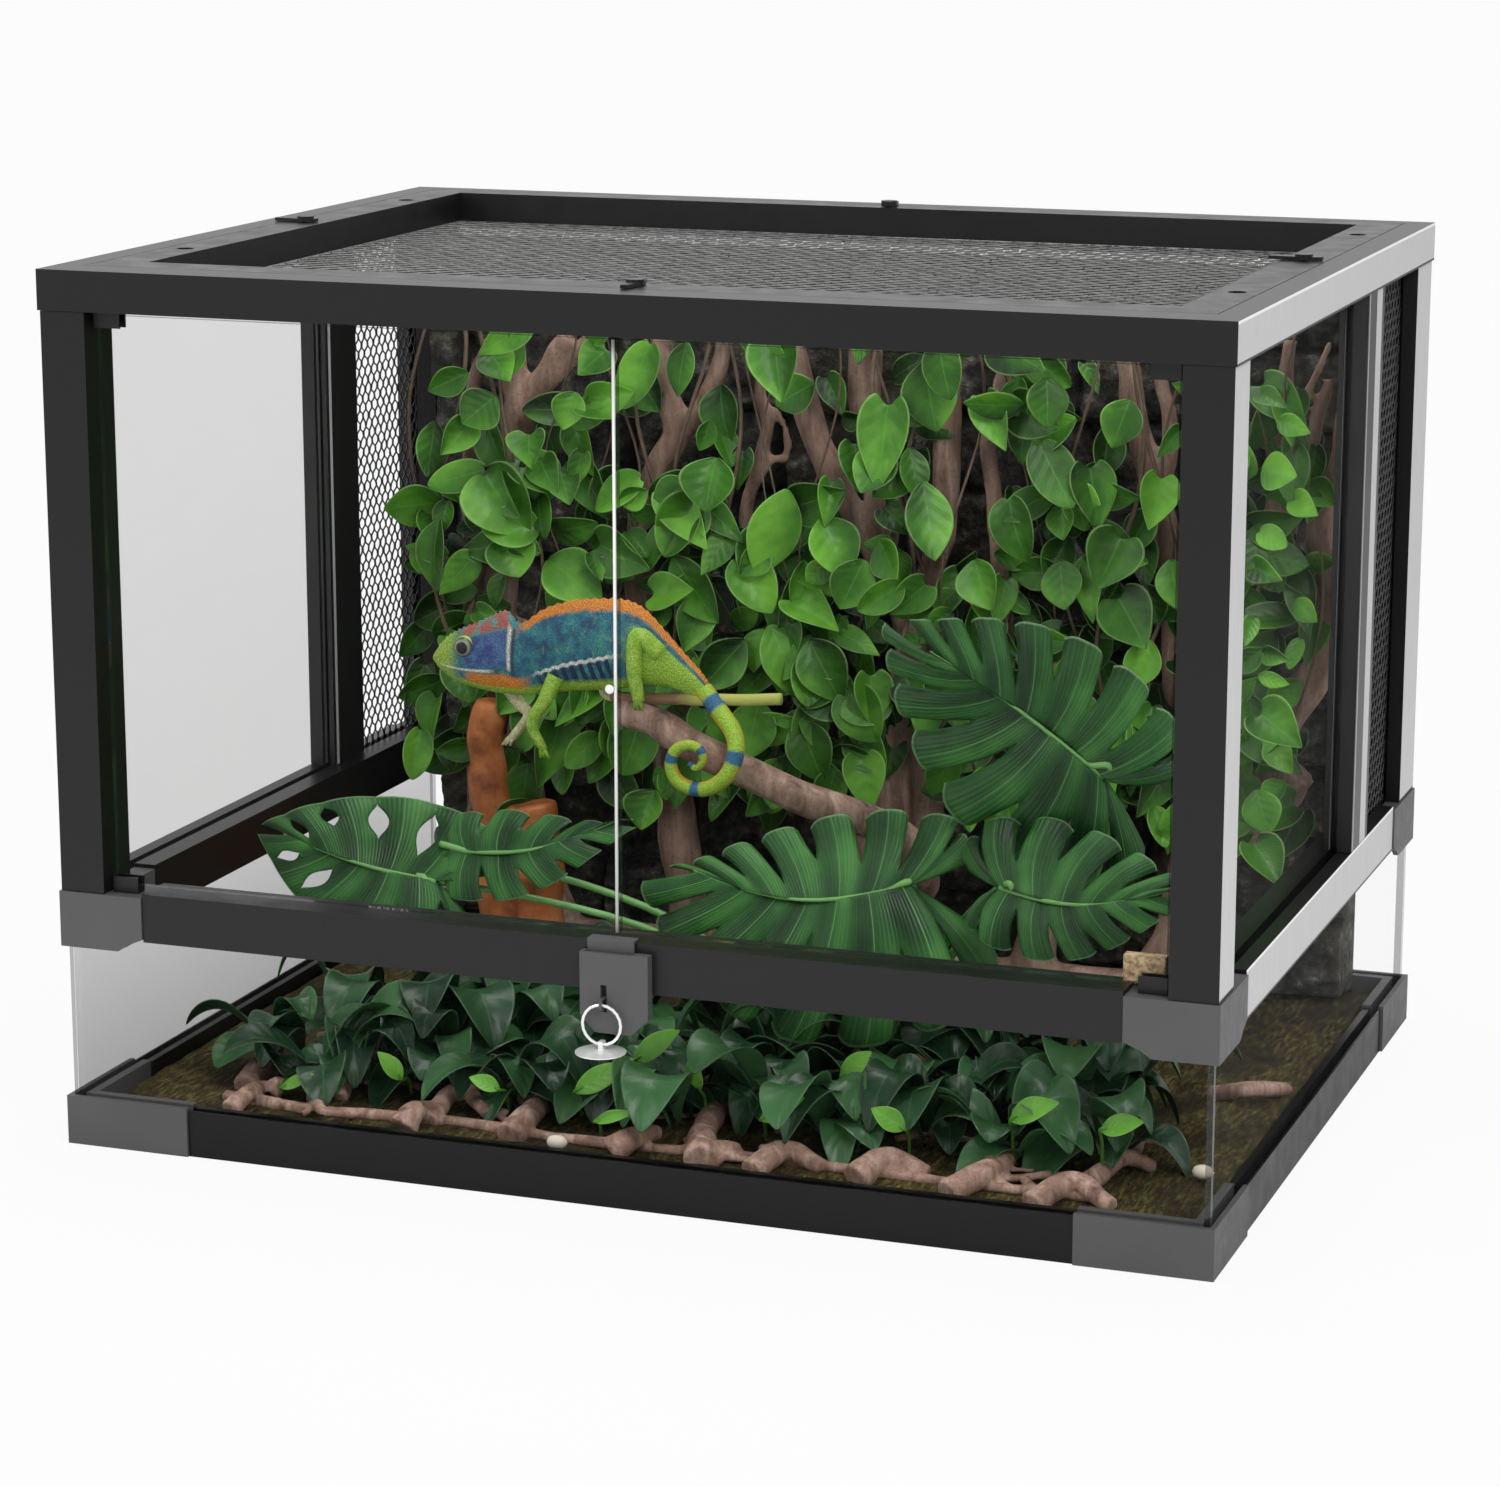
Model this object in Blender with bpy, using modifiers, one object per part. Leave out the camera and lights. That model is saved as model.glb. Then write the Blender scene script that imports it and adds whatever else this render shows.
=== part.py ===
"""Glass reptile terrarium with double front doors, side vents and a lift-off mesh lid.

Metres, +Z up, the doors face -Y. The origin is at the middle of the base, on the surface it stands on.
"""
import math

import bmesh
import bpy
from mathutils import Matrix, Vector, noise

# Overall size
WIDTH = 0.600
DEPTH = 0.4535
HEIGHT = 0.4474
GAP = 0.0003

# Glass
GLASS = 0.004
GROOVE_SIDE_GAP = 0.0003
LOWER_GLASS_INSET = 0.003
SIDE_GLASS_INSET = 0.009
REAR_GLASS_INSET = 0.004

# Base frame
BASE_RAIL_HEIGHT = 0.024
BASE_RAIL_INSET = 0.0015
BASE_RAIL_WIDTH = 0.0110
BASE_GROOVE_BOTTOM = 0.014
BASE_WALL = 0.002
LEDGE_REACH = 0.009
LEDGE_BOTTOM = 0.005
LEDGE_TOP = 0.008
BASE_CORNER_HEIGHT = 0.0255
BASE_CORNER_WIDTH = 0.012
BASE_CORNER_ARM = 0.068
TONGUE_LENGTH = 0.015
TONGUE_GAP = 0.0003

# Middle frame
MID_RAIL_BOTTOM = 0.1105
MID_RAIL_TOP = 0.1355
MID_RAIL_INSET = 0.001
MID_RAIL_WIDTH = 0.025
MID_GROOVE_DEPTH = 0.0075
MID_CHAMBER_START = 0.0148
MID_WALL = 0.002
MID_CORNER_BOTTOM = 0.1047
MID_CORNER_TOP = 0.1335
MID_CORNER_FRONT_ARM = 0.046
MID_CORNER_SIDE_ARM = 0.055
MID_CORNER_STEP_START = 0.0137
MID_CORNER_STEP_END = 0.0084
MID_CORNER_STEP_LOW = 0.0022
MID_CORNER_STEP_HIGH = 0.0013

# Posts
POST_INSET = 0.001
POST_WIDTH = 0.025
FRONT_POST_DEPTH = 0.029
REAR_POST_DEPTH = 0.038
POST_GROOVE_DEPTH = 0.008
POST_WALL = 0.003

# Side windows and vents
MULLION_FRONT = 0.062
MULLION_REAR = 0.101
MULLION_OUTER = 0.001
MULLION_INNER = 0.016
VENT_THICKNESS = 0.0015
VENT_BORDER = 0.007
VENT_COLUMNS = 3
VENT_ROWS = 10
VENT_WIRE = 0.0024

# Top frame and lid
TOP_FRAME_HEIGHT = 0.0202
TOP_FRAME_BOTTOM = HEIGHT - TOP_FRAME_HEIGHT
TOP_SIDE_WEB = 0.0145
TOP_FRONT_WEB = 0.0225
TOP_REAR_WEB = 0.0102
TOP_GROOVE_DEPTH = 0.0095
FLANGE_THICKNESS = 0.0018
FLANGE_REACH = 0.017
LID_SEAM = 0.0005
LID_BAR = 0.0225
LID_REAR_BAR = 0.0155
LID_MESH_THICKNESS = 0.0012
LID_MESH_DROP = 0.0172
LID_MESH_GRIP = 0.006
LID_COLUMNS = 11
LID_ROWS = 7
LID_WIRE = 0.0026
CABLE_HOLE_RADIUS = 0.0045
CABLE_HOLE_SPAN = 0.270
CABLE_HOLE_MIDDLE = 0.015

# Lid clips
CLIP_PIN_RADIUS = 0.002
CLIP_PIN_DEPTH = 0.004
CLIP_RUNNING_GAP = 0.0003
CLIP_BLOCK_RADIUS = 0.0045
CLIP_THICKNESS = 0.003
CLIP_WIDTH = 0.007
# Each clip's offset along its bar, and how far its blade reaches outward and inward from the pin
CLIP_OFFSET = {"left": 0.020, "right": 0.021, "front": 0.001, "back": -0.004}
CLIP_REACH = {"left": 0.0175, "right": 0.0095, "front": 0.0150, "back": 0.0120}
CLIP_TAIL = {"left": 0.0065, "right": 0.0175, "front": 0.0095, "back": 0.0040}

# Doors
DOOR_PLANE = 0.0107
DOOR_CLEARANCE = 0.003
DOOR_MEETING_GAP = 0.0011
DOOR_BOTTOM_GAP = 0.0023
DOOR_TOP_GAP = 0.0022
SEAL_WIDTH = 0.0014
SEAL_DEPTH = 0.006
HINGE_SETBACK = 0.008
HINGE_SHOE_BACK = 0.006
HINGE_SHOE_FRONT = 0.008
HINGE_SHOE_DEPTH = 0.007
HINGE_SHOE_HEIGHT = 0.008
HINGE_PIN_RADIUS = 0.0015
HINGE_PIN_LENGTH = 0.006
HINGE_RUNNING_GAP = 0.0003
KNOB_HEIGHT = 0.2586
KNOB_RADIUS = 0.0023
KNOB_STEM_RADIUS = 0.001
KNOB_REACH = 0.0045

# Lock
LOCK_CENTRE = 0.0032
LOCK_WIDTH = 0.0352
LOCK_BOTTOM = 0.0912
LOCK_TOP = 0.1308
LOCK_DEPTH = 0.0060
LOCK_BULGE = 0.0012
LOCK_WALL = 0.0016
LOCK_CHAMFER = 0.009
CATCH_CENTRE = 0.0002
CATCH_WIDTH = 0.0240
CATCH_THICKNESS = 0.0019
CATCH_BOTTOM = 0.0980
CATCH_LIP = 0.0010
CATCH_LIP_REACH = 0.0053
CATCH_TRAVEL = 0.005
STAPLE_OFFSET = -0.0016
STAPLE_WIRE = 0.0008
STAPLE_RISE = 0.0026
STAPLE_REACH = 0.0045
RING_RADIUS = 0.0099
RING_WIRE = 0.00075
RING_TOP = 0.1060
RING_STEPS = 20
PULL_RADIUS = 0.0125
PULL_THICKNESS = 0.0024
PULL_SET_FORWARD = 0.0015

# Planted interior
BED_THICKNESS = 0.0070
BED_RIM_DROP = 0.0025
BED_COLUMNS = 8
BED_ROWS = 6
ROCK_SIDE_GAP = 0.0012
ROCK_TOP_GAP = 0.004
ROCK_THICKNESS = 0.022
ROCK_RELIEF = 0.012
ROCK_COURSES = 7
ROCK_COLUMNS = 14
ROCK_ROWS = 14
BRANCH_STEPS = 2
TRUNK_PLANE = 0.1394
TRUNK_SIDES = 5
PERCH_PLANE = -0.004
PERCH_TOP = 0.2050
PERCH_SEAT_START = -0.110
PERCH_SEAT_END = -0.050
PERCH_SEAT_HALF = 0.030
PERCH_SEAT_CUT = 0.040
VINE_PLANE = 0.108
VINE_STEMS = (-0.236, -0.180, -0.124, -0.066, -0.008, 0.050, 0.108, 0.166, 0.244)
VINE_ROOTED = (6, 8)
VINE_BOTTOM = 0.145
VINE_TOP = 0.396
VINE_STEM_RADIUS = 0.0013
VINE_STALK_RADIUS = 0.0008
VINE_LEAF_REACH = 0.010
VINE_LEAF_FOLD = 0.003
VINE_LEAF_DROOP = 0.005
LEAF_THICKNESS = 0.0010
PLANT_CROWN = (0.075, -0.050)
PLANT_STALK_RADIUS = 0.0020
SPLIT_LEAF_THICKNESS = 0.0012
TUFT_CENTRES = (-0.195, -0.130, -0.065, 0.000, 0.065, 0.130, 0.200)
TUFT_LINE = -0.135
TUFT_LEAVES = 5
RUNNER_HEIGHT = 0.034
RUNNER_RADIUS = 0.0025
FLOOR_LEAF_LENGTH = 0.056
FLOOR_LEAF_HALF = 0.0130
FLOOR_LEAF_FOLD = 0.004
FLOOR_LEAF_DROOP = 0.012
CORK_SIZE = (0.0200, 0.0064, 0.0125)
CORK_SIDE_INSET = 0.0310
CORK_FRONT_INSET = 0.01815

# The creeping root's run over the bed, and the side roots' start on it, length and turn in degrees
ROOT_RISE = 0.0040
SIDE_ROOT_DROP = 0.0007
ROOT_LINE = ((-0.210, -0.203), (-0.172, -0.206), (-0.149, -0.186), (-0.105, -0.192), (-0.060, -0.204),
             (-0.020, -0.200), (0.020, -0.206), (0.060, -0.190), (0.105, -0.184), (0.150, -0.196),
             (0.200, -0.192), (0.240, -0.203))
SIDE_ROOTS = ((1, 0.060, 20), (3, 0.050, -15), (5, 0.062, 10), (7, 0.055, 25), (9, 0.060, -20),
              (10, 0.058, 15))

# The lizard's runs of (x, z) places with their radii, laid out on a twig at LIZARD_TWIG
LIZARD_TWIG = 0.2095
LIZARD_BODY = ((-0.162, 0.2310), (-0.140, 0.2370), (-0.112, 0.2400), (-0.080, 0.2340), (-0.056, 0.2200),
               (-0.042, 0.2050))
LIZARD_BODY_RADII = (0.0085, 0.010, 0.0115, 0.013, 0.0145, 0.0155, 0.016, 0.0158, 0.0150, 0.0140, 0.0125,
                     0.0110, 0.0095, 0.0080, 0.0070, 0.0060, 0.0052, 0.0046, 0.0042)
LIZARD_HEAD = ((-0.192, 0.2230), (-0.180, 0.2265), (-0.166, 0.2310), (-0.152, 0.2350))
LIZARD_HEAD_RADII = (0.0035, 0.0060, 0.0085, 0.0100, 0.0115, 0.0110, 0.0090)
LIZARD_LEGS = (((-0.140, 0.232), (-0.148, 0.222), (-0.132, LIZARD_TWIG), -1),
               ((-0.128, 0.230), (-0.112, 0.220), (-0.116, LIZARD_TWIG), 1),
               ((-0.074, 0.226), (-0.090, 0.218), (-0.082, LIZARD_TWIG), 1),
               ((-0.060, 0.218), (-0.052, 0.224), (-0.058, LIZARD_TWIG), -1))
LIZARD_LEG_SPREAD = 0.006

# The tank's size that the planting below was laid out for
LAYOUT_WIDTH = 0.600
LAYOUT_DEPTH = 0.4535
LAYOUT_HEIGHT = 0.4474

MILLIMETRE = 0.001

# Limbs in the plane of the trunks: start and end radius, then (x, z) places, in millimetres
TRUNK_LIMBS = (
    (9, 9, (-205, 27), (-110, 26), (24, 27), (120, 26), (208, 27)),
    (15, 13, (12, 10), (18, 120), (22, 170)),
    (13, 10, (-174, 10), (-195, 80), (-205, 160), (-205, 210)),
    (13, 10, (-94, 10), (-105, 80), (-110, 160), (-110, 210)),
    (13, 10, (102, 10), (114, 80), (120, 160), (120, 210)),
    (13, 10, (170, 10), (190, 80), (200, 160), (200, 210)),
    (13, 9, (-119, 170), (-128, 250), (-119, 300), (-106, 325), (-114, 354), (-115, 377)),
    (9, 7, (-108, 320), (-92, 338), (-83, 355), (-75, 379)),
    (14, 10, (20, 66), (45, 108), (36, 182), (29, 238), (15, 262), (-9, 296), (-24, 330), (-37, 377)),
    (8, 4, (18, 260), (11, 293), (4, 321)),
    (11, 13, (17, 268), (11, 321), (6, 348), (7, 379)),
    (11, 10, (51, 126), (41, 227), (52, 284), (53, 340), (49, 383)),
    (13, 11, (-204, 93), (-215, 198), (-206, 292), (-201, 327), (-203, 349), (-207, 376)),
    (9, 8, (-201, 331), (-185, 355), (-169, 376)),
    (6, 7, (-193, 337), (-173, 357), (-157, 375)),
    (7, 6, (-204, 72), (-231, 102), (-233, 221), (-232, 296), (-229, 342), (-218, 371)),
    (12, 8, (187, 160), (183, 237), (176, 291), (162, 329), (154, 372), (149, 388)),
    (7, 5, (173, 302), (179, 341), (172, 367), (174, 389)),
    (7, 6, (118, 150), (91, 186), (84, 264), (77, 324), (83, 352), (88, 382)),
    (6, 5, (-56, 232), (-65, 277), (-51, 329), (-56, 351), (-49, 376)),
    (4, 3, (-67, 266), (-63, 289), (-50, 311), (-39, 314), (-41, 329), (-47, 341)),
    (12, 8, (195, 105), (244, 150), (262, 215), (256, 280), (268, 335), (267, 402)),
    (9, 3, (204, 196), (225, 230), (245, 300), (256, 345), (262, 372)),
)

# The limb that reaches forward to the perch: radii, then (x, y, z) places, in millimetres
PERCH_LIMB = (11, 8, (24, 139, 70), (56, 92, 90), (54, 44, 130), (14, 4, 156), (-40, -4, 180), (-80, -4, 200))

# Leaves of the vine: stalk end (x, z), tip (x, z), greatest width and depth y, in millimetres
VINE_LEAVES = (
    (-109, 377, -123, 342, 28, 108), (-89, 379, -93, 352, 21, 112), (-34, 382, -27, 351, 33, 104),
    (29, 349, 27, 305, 33, 106), (59, 386, 66, 358, 30, 104), (48, 375, 57, 339, 37, 112),
    (-69, 317, -72, 288, 35, 106), (-28, 301, -40, 253, 36, 106), (-8, 287, 10, 259, 33, 106),
    (9, 327, 14, 304, 21, 112), (50, 311, 60, 269, 35, 104), (-99, 294, -72, 266, 26, 108),
    (-96, 260, -67, 225, 28, 108), (8, 254, -20, 250, 25, 108), (38, 253, 17, 239, 21, 104),
    (-24, 240, 3, 229, 27, 108), (-200, 345, -217, 330, 30, 104), (-217, 328, -230, 312, 22, 104),
    (-209, 302, -239, 293, 22, 106), (-219, 357, -240, 346, 21, 110), (-202, 367, -188, 356, 23, 104),
    (-134, 373, -146, 360, 25, 104), (-152, 350, -156, 331, 22, 104), (-180, 324, -177, 309, 30, 104),
    (-208, 300, -183, 271, 40, 106), (-174, 309, -164, 295, 24, 108), (-235, 273, -242, 234, 24, 104),
    (-217, 251, -232, 231, 22, 104), (-165, 304, -155, 286, 23, 112), (-197, 263, -184, 246, 30, 106),
    (-117, 301, -143, 290, 30, 112), (-140, 263, -108, 253, 36, 112), (-174, 252, -138, 233, 34, 114),
    (92, 387, 121, 375, 31, 104), (118, 370, 123, 346, 27, 106), (115, 334, 137, 302, 33, 104),
    (83, 356, 97, 331, 24, 110), (164, 361, 158, 337, 27, 104), (143, 322, 152, 292, 29, 106),
    (99, 303, 108, 273, 30, 106), (160, 285, 151, 260, 33, 104), (181, 319, 179, 293, 25, 106),
    (126, 272, 132, 247, 28, 108), (161, 253, 180, 229, 33, 104), (79, 269, 91, 244, 26, 108),
    (-52, 216, -75, 188, 33, 104), (-37, 226, -16, 193, 35, 104), (-14, 219, 6, 189, 32, 104),
    (-44, 183, -49, 150, 31, 106), (-20, 173, -5, 143, 34, 104), (9, 192, 25, 167, 31, 106),
    (16, 153, 24, 127, 28, 106), (-80, 231, -86, 208, 29, 108), (-116, 166, -123, 135, 32, 106),
    (-165, 162, -174, 122, 33, 108),
    (-229, 192, -216, 171, 22, 108), (-142, 226, -114, 212, 26, 112), (-80, 293, -100, 271, 33, 108),
    (-57, 260, -35, 235, 30, 108), (24, 276, 39, 257, 24, 110), (178, 232, 170, 206, 27, 106),
    (-250, 150, -251, 123, 20, 104), (187, 276, 196, 251, 23, 108),
)

COLORS = {
    "frame": ((0.030, 0.030, 0.029), 0.42, 0.0),
    "silver": ((0.55, 0.55, 0.55), 0.35, 0.8),
    "connector": ((0.085, 0.085, 0.085), 0.55, 0.0),
    "glass": ((0.72, 0.80, 0.78), 0.05, 0.0),
    "mesh": ((0.06, 0.06, 0.06), 0.45, 0.6),
    "white": ((0.85, 0.85, 0.83), 0.40, 0.0),
    "bright": ((0.75, 0.75, 0.75), 0.25, 1.0),
    "rock": ((0.05, 0.045, 0.04), 0.90, 0.0),
    "moss": ((0.10, 0.09, 0.02), 0.95, 0.0),
    "wood": ((0.26, 0.16, 0.10), 0.80, 0.0),
    "root": ((0.33, 0.19, 0.14), 0.80, 0.0),
    "leaf": ((0.14, 0.38, 0.05), 0.50, 0.0),
    "split_leaf": ((0.02, 0.16, 0.04), 0.45, 0.0),
    "floor_leaf": ((0.03, 0.09, 0.04), 0.50, 0.0),
    "cork": ((0.50, 0.36, 0.22), 0.90, 0.0),
    "lizard": ((0.20, 0.40, 0.12), 0.60, 0.0),
}


def clear_scene():
    for item in list(bpy.data.objects):
        bpy.data.objects.remove(item, do_unlink=True)


def make_collection(name):
    collection = bpy.data.collections.new(name)
    bpy.context.scene.collection.children.link(collection)
    return collection


def make_material(name, color, roughness, metallic):
    material = bpy.data.materials.new(name)
    material.use_nodes = True
    shader = material.node_tree.nodes["Principled BSDF"]
    shader.inputs["Base Color"].default_value = (*color, 1.0)
    shader.inputs["Roughness"].default_value = roughness
    shader.inputs["Metallic"].default_value = metallic
    material.diffuse_color = (*color, 1.0)
    return material


def finish_mesh(mesh, smooth_angle=35, weld=0.00001):
    """Weld a mesh, point its faces out and shade its round faces smooth."""
    work = bmesh.new()
    work.from_mesh(mesh)
    if weld:
        bmesh.ops.remove_doubles(work, verts=work.verts, dist=weld)
    bmesh.ops.recalc_face_normals(work, faces=work.faces)
    work.to_mesh(mesh)
    work.free()
    mesh.shade_smooth()
    mesh.set_sharp_from_angle(angle=math.radians(smooth_angle))


def add_object(name, mesh, collection, matrix=None):
    item = bpy.data.objects.new(name, mesh)
    collection.objects.link(item)
    if matrix is not None:
        item.matrix_world = matrix
    return item


def baked_copy(item):
    """Turn an object's evaluated shape into a plain mesh in world space, and remove the object."""
    bpy.context.view_layer.update()
    graph = bpy.context.evaluated_depsgraph_get()
    mesh = bpy.data.meshes.new_from_object(item.evaluated_get(graph), depsgraph=graph)
    mesh.transform(item.matrix_world)
    bpy.data.objects.remove(item, do_unlink=True)
    return mesh


def box_mesh(low, high):
    work = bmesh.new()
    bmesh.ops.create_cube(work, size=1.0)
    size = [high[i] - low[i] for i in range(3)]
    middle = [(high[i] + low[i]) / 2 for i in range(3)]
    bmesh.ops.scale(work, vec=size, verts=work.verts)
    bmesh.ops.translate(work, vec=middle, verts=work.verts)
    mesh = bpy.data.meshes.new("box")
    work.to_mesh(mesh)
    work.free()
    return mesh


def cylinder_mesh(radius, low, high, sides=16, top_radius=None):
    """A round bar from one point to another along its own axis."""
    low, high = Vector(low), Vector(high)
    along = high - low
    work = bmesh.new()
    bmesh.ops.create_cone(work, cap_ends=True, segments=sides, radius1=radius,
                          radius2=radius if top_radius is None else top_radius, depth=along.length)
    turn = along.to_track_quat("Z", "Y").to_matrix().to_4x4()
    bmesh.ops.transform(work, matrix=Matrix.Translation((low + high) / 2) @ turn, verts=work.verts)
    mesh = bpy.data.meshes.new("cylinder")
    work.to_mesh(mesh)
    work.free()
    return mesh


def outline_mesh(loops, thickness, matrix):
    """Extrude a flat outline, with any holes, from 0 to thickness along the matrix's third axis."""
    curve = bpy.data.curves.new("outline", "CURVE")
    curve.dimensions = "2D"
    curve.fill_mode = "BOTH"
    curve.extrude = thickness / 2
    for loop in loops:
        spline = curve.splines.new("POLY")
        spline.points.add(len(loop) - 1)
        for point, (across, up) in zip(spline.points, loop):
            point.co = (across, up, 0.0, 1.0)
        spline.use_cyclic_u = True
    item = bpy.data.objects.new("outline", curve)
    bpy.context.scene.collection.objects.link(item)
    item.matrix_world = matrix @ Matrix.Translation((0.0, 0.0, thickness / 2))
    mesh = baked_copy(item)
    bpy.data.curves.remove(curve)
    finish_mesh(mesh)
    return mesh


def tube_mesh(points, radii, sides=8, closed=False):
    """A round bar through the points, with a radius at each of them."""
    curve = bpy.data.curves.new("tube", "CURVE")
    curve.dimensions = "3D"
    curve.bevel_depth = 1.0
    curve.bevel_resolution = max(0, sides // 2 - 2)
    curve.use_fill_caps = not closed
    spline = curve.splines.new("POLY")
    spline.points.add(len(points) - 1)
    for point, place, radius in zip(spline.points, points, radii):
        point.co = (*place, 1.0)
        point.radius = radius
    spline.use_cyclic_u = closed
    item = bpy.data.objects.new("tube", curve)
    bpy.context.scene.collection.objects.link(item)
    mesh = baked_copy(item)
    bpy.data.curves.remove(curve)
    finish_mesh(mesh, 60)
    return mesh


def combine(name, mesh, others, operation, solver="EXACT"):
    """Join or cut a mesh with others and return the plain result."""
    item = add_object(name, mesh, bpy.context.scene.collection)
    helpers = bpy.data.collections.new(name + "_helpers")
    CUTTERS.children.link(helpers)
    for index, other in enumerate(others):
        helper = add_object(f"{name}_helper_{index}", other, helpers)
        helper.hide_render = True
        helper.display_type = "WIRE"
    modifier = item.modifiers.new("combine", "BOOLEAN")
    modifier.operation = operation
    modifier.solver = solver
    modifier.operand_type = "COLLECTION"
    modifier.collection = helpers
    result = baked_copy(item)
    for helper in list(helpers.objects):
        bpy.data.objects.remove(helper, do_unlink=True)
    bpy.data.collections.remove(helpers)
    finish_mesh(result, weld=0.000001 if solver == "EXACT" else 0.0)
    return result


def rectangle(low, high):
    return [(low[0], low[1]), (high[0], low[1]), (high[0], high[1]), (low[0], high[1])]


def side_frame(side):
    """A matrix whose x runs inward from one outer face, y up and z along the rail."""
    inward = {"front": (0, 1, 0), "back": (0, -1, 0), "left": (1, 0, 0), "right": (-1, 0, 0)}[side]
    inward = Vector(inward)
    up = Vector((0, 0, 1))
    along = inward.cross(up)
    face = -inward * (DEPTH / 2 if side in ("front", "back") else WIDTH / 2)
    matrix = Matrix((inward, up, along)).transposed().to_4x4()
    matrix.translation = face
    return matrix


def rail(name, side, loops, margin, look):
    """A straight extrusion between two corner connectors."""
    span = WIDTH if side in ("front", "back") else DEPTH
    length = span - 2 * margin
    matrix = side_frame(side) @ Matrix.Translation((0, 0, -length / 2))
    keep(name, outline_mesh(loops, length, matrix), look)


def keep(name, mesh, look, origin=(0.0, 0.0, 0.0)):
    """Add a finished piece to the model, with its origin where it turns or slides."""
    mesh.name = name
    mesh.transform(Matrix.Translation(-Vector(origin)))
    mesh.materials.clear()
    mesh.materials.append(MATERIALS[look])
    item = add_object(name, mesh, MODEL)
    item.parent = STAND
    item.location = origin
    return item


def base_frame():
    """Rails with a groove for the lower panes, a ledge for the base glass and an open chamber."""
    outer = BASE_RAIL_INSET
    inner = BASE_RAIL_WIDTH
    groove_out = LOWER_GLASS_INSET - GROOVE_SIDE_GAP
    groove_in = LOWER_GLASS_INSET + GLASS + GROOVE_SIDE_GAP
    profile = [(outer, 0.0), (inner, 0.0), (inner, LEDGE_BOTTOM), (inner + LEDGE_REACH, LEDGE_BOTTOM),
               (inner + LEDGE_REACH, LEDGE_TOP), (inner, LEDGE_TOP), (inner, BASE_RAIL_HEIGHT),
               (groove_in, BASE_RAIL_HEIGHT), (groove_in, BASE_GROOVE_BOTTOM),
               (groove_out, BASE_GROOVE_BOTTOM), (groove_out, BASE_RAIL_HEIGHT), (outer, BASE_RAIL_HEIGHT)]
    chamber_low = (outer + BASE_WALL, BASE_WALL)
    chamber_high = (inner - BASE_WALL, BASE_GROOVE_BOTTOM - BASE_WALL)
    chamber = rectangle(chamber_low, chamber_high)
    margin = BASE_CORNER_ARM + GAP
    for side in ("front", "back", "left", "right"):
        rail(f"base_rail_{side}", side, [profile, chamber], margin, "frame")
    tongue = (Vector(chamber_low) + Vector((TONGUE_GAP, TONGUE_GAP)),
              Vector(chamber_high) - Vector((TONGUE_GAP, TONGUE_GAP)))
    for x_side in (-1, 1):
        for y_side in (-1, 1):
            base_corner(x_side, y_side, tongue, groove_out, groove_in)


def corner_name(prefix, x_side, y_side):
    return f"{prefix}_{'front' if y_side < 0 else 'back'}_{'left' if x_side < 0 else 'right'}"


def corner_point(x_side, y_side, across, inward):
    """A plan point measured from an outer corner: across along X, inward along Y."""
    return (x_side * (WIDTH / 2 - across), y_side * (DEPTH / 2 - inward))


def corner_box(x_side, y_side, low, high, bottom, top):
    """A box between two plan offsets from an outer corner."""
    first = corner_point(x_side, y_side, *low)
    second = corner_point(x_side, y_side, *high)
    return box_mesh((min(first[0], second[0]), min(first[1], second[1]), bottom),
                    (max(first[0], second[0]), max(first[1], second[1]), top))


def base_corner(x_side, y_side, tongue, groove_out, groove_in):
    """A moulded elbow with the panes' groove and a tongue for each rail's chamber."""
    arm, width = BASE_CORNER_ARM, BASE_CORNER_WIDTH
    plan = [(0, 0), (arm, 0), (arm, width), (width, width), (width, arm), (0, arm)]
    loop = [corner_point(x_side, y_side, *point) for point in plan]
    body = outline_mesh([loop], BASE_CORNER_HEIGHT, Matrix.Identity(4))
    low, high = tongue
    reach = arm + TONGUE_LENGTH
    tongues = [corner_box(x_side, y_side, (width, low.x), (reach, high.x), low.y, high.y),
               corner_box(x_side, y_side, (low.x, width), (high.x, reach), low.y, high.y)]
    name = corner_name("base_corner", x_side, y_side)
    body = combine(name, body, tongues, "UNION")
    above = BASE_CORNER_HEIGHT + GLASS
    grooves = [corner_box(x_side, y_side, (groove_out, groove_out), (arm + GLASS, groove_in),
                          BASE_GROOVE_BOTTOM, above),
               corner_box(x_side, y_side, (groove_out, groove_out), (groove_in, arm + GLASS),
                          BASE_GROOVE_BOTTOM, above)]
    keep(name, combine(name, body, grooves, "DIFFERENCE"), "connector")


def base_and_lower_glass():
    """The floor pane on its ledge, and four upright panes between the base and the middle frame."""
    edge = BASE_CORNER_WIDTH + GAP
    low = (-WIDTH / 2 + edge, -DEPTH / 2 + edge, LEDGE_TOP + GAP)
    high = (WIDTH / 2 - edge, DEPTH / 2 - edge, LEDGE_TOP + GAP + GLASS)
    keep("base_glass", box_mesh(low, high), "glass")
    bottom = BASE_GROOVE_BOTTOM + GAP
    top = MID_RAIL_BOTTOM + MID_GROOVE_DEPTH - GAP
    outer, inner = LOWER_GLASS_INSET, LOWER_GLASS_INSET + GLASS
    for side, sign in (("front", -1), ("back", 1)):
        faces = sorted((sign * (DEPTH / 2 - outer), sign * (DEPTH / 2 - inner)))
        keep(f"lower_glass_{side}", box_mesh((-WIDTH / 2 + outer, faces[0], bottom),
                                             (WIDTH / 2 - outer, faces[1], top)), "glass")
    end = DEPTH / 2 - inner - GAP
    for side, sign in (("left", -1), ("right", 1)):
        faces = sorted((sign * (WIDTH / 2 - outer), sign * (WIDTH / 2 - inner)))
        keep(f"lower_glass_{side}", box_mesh((faces[0], -end, bottom), (faces[1], end, top)), "glass")


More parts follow.
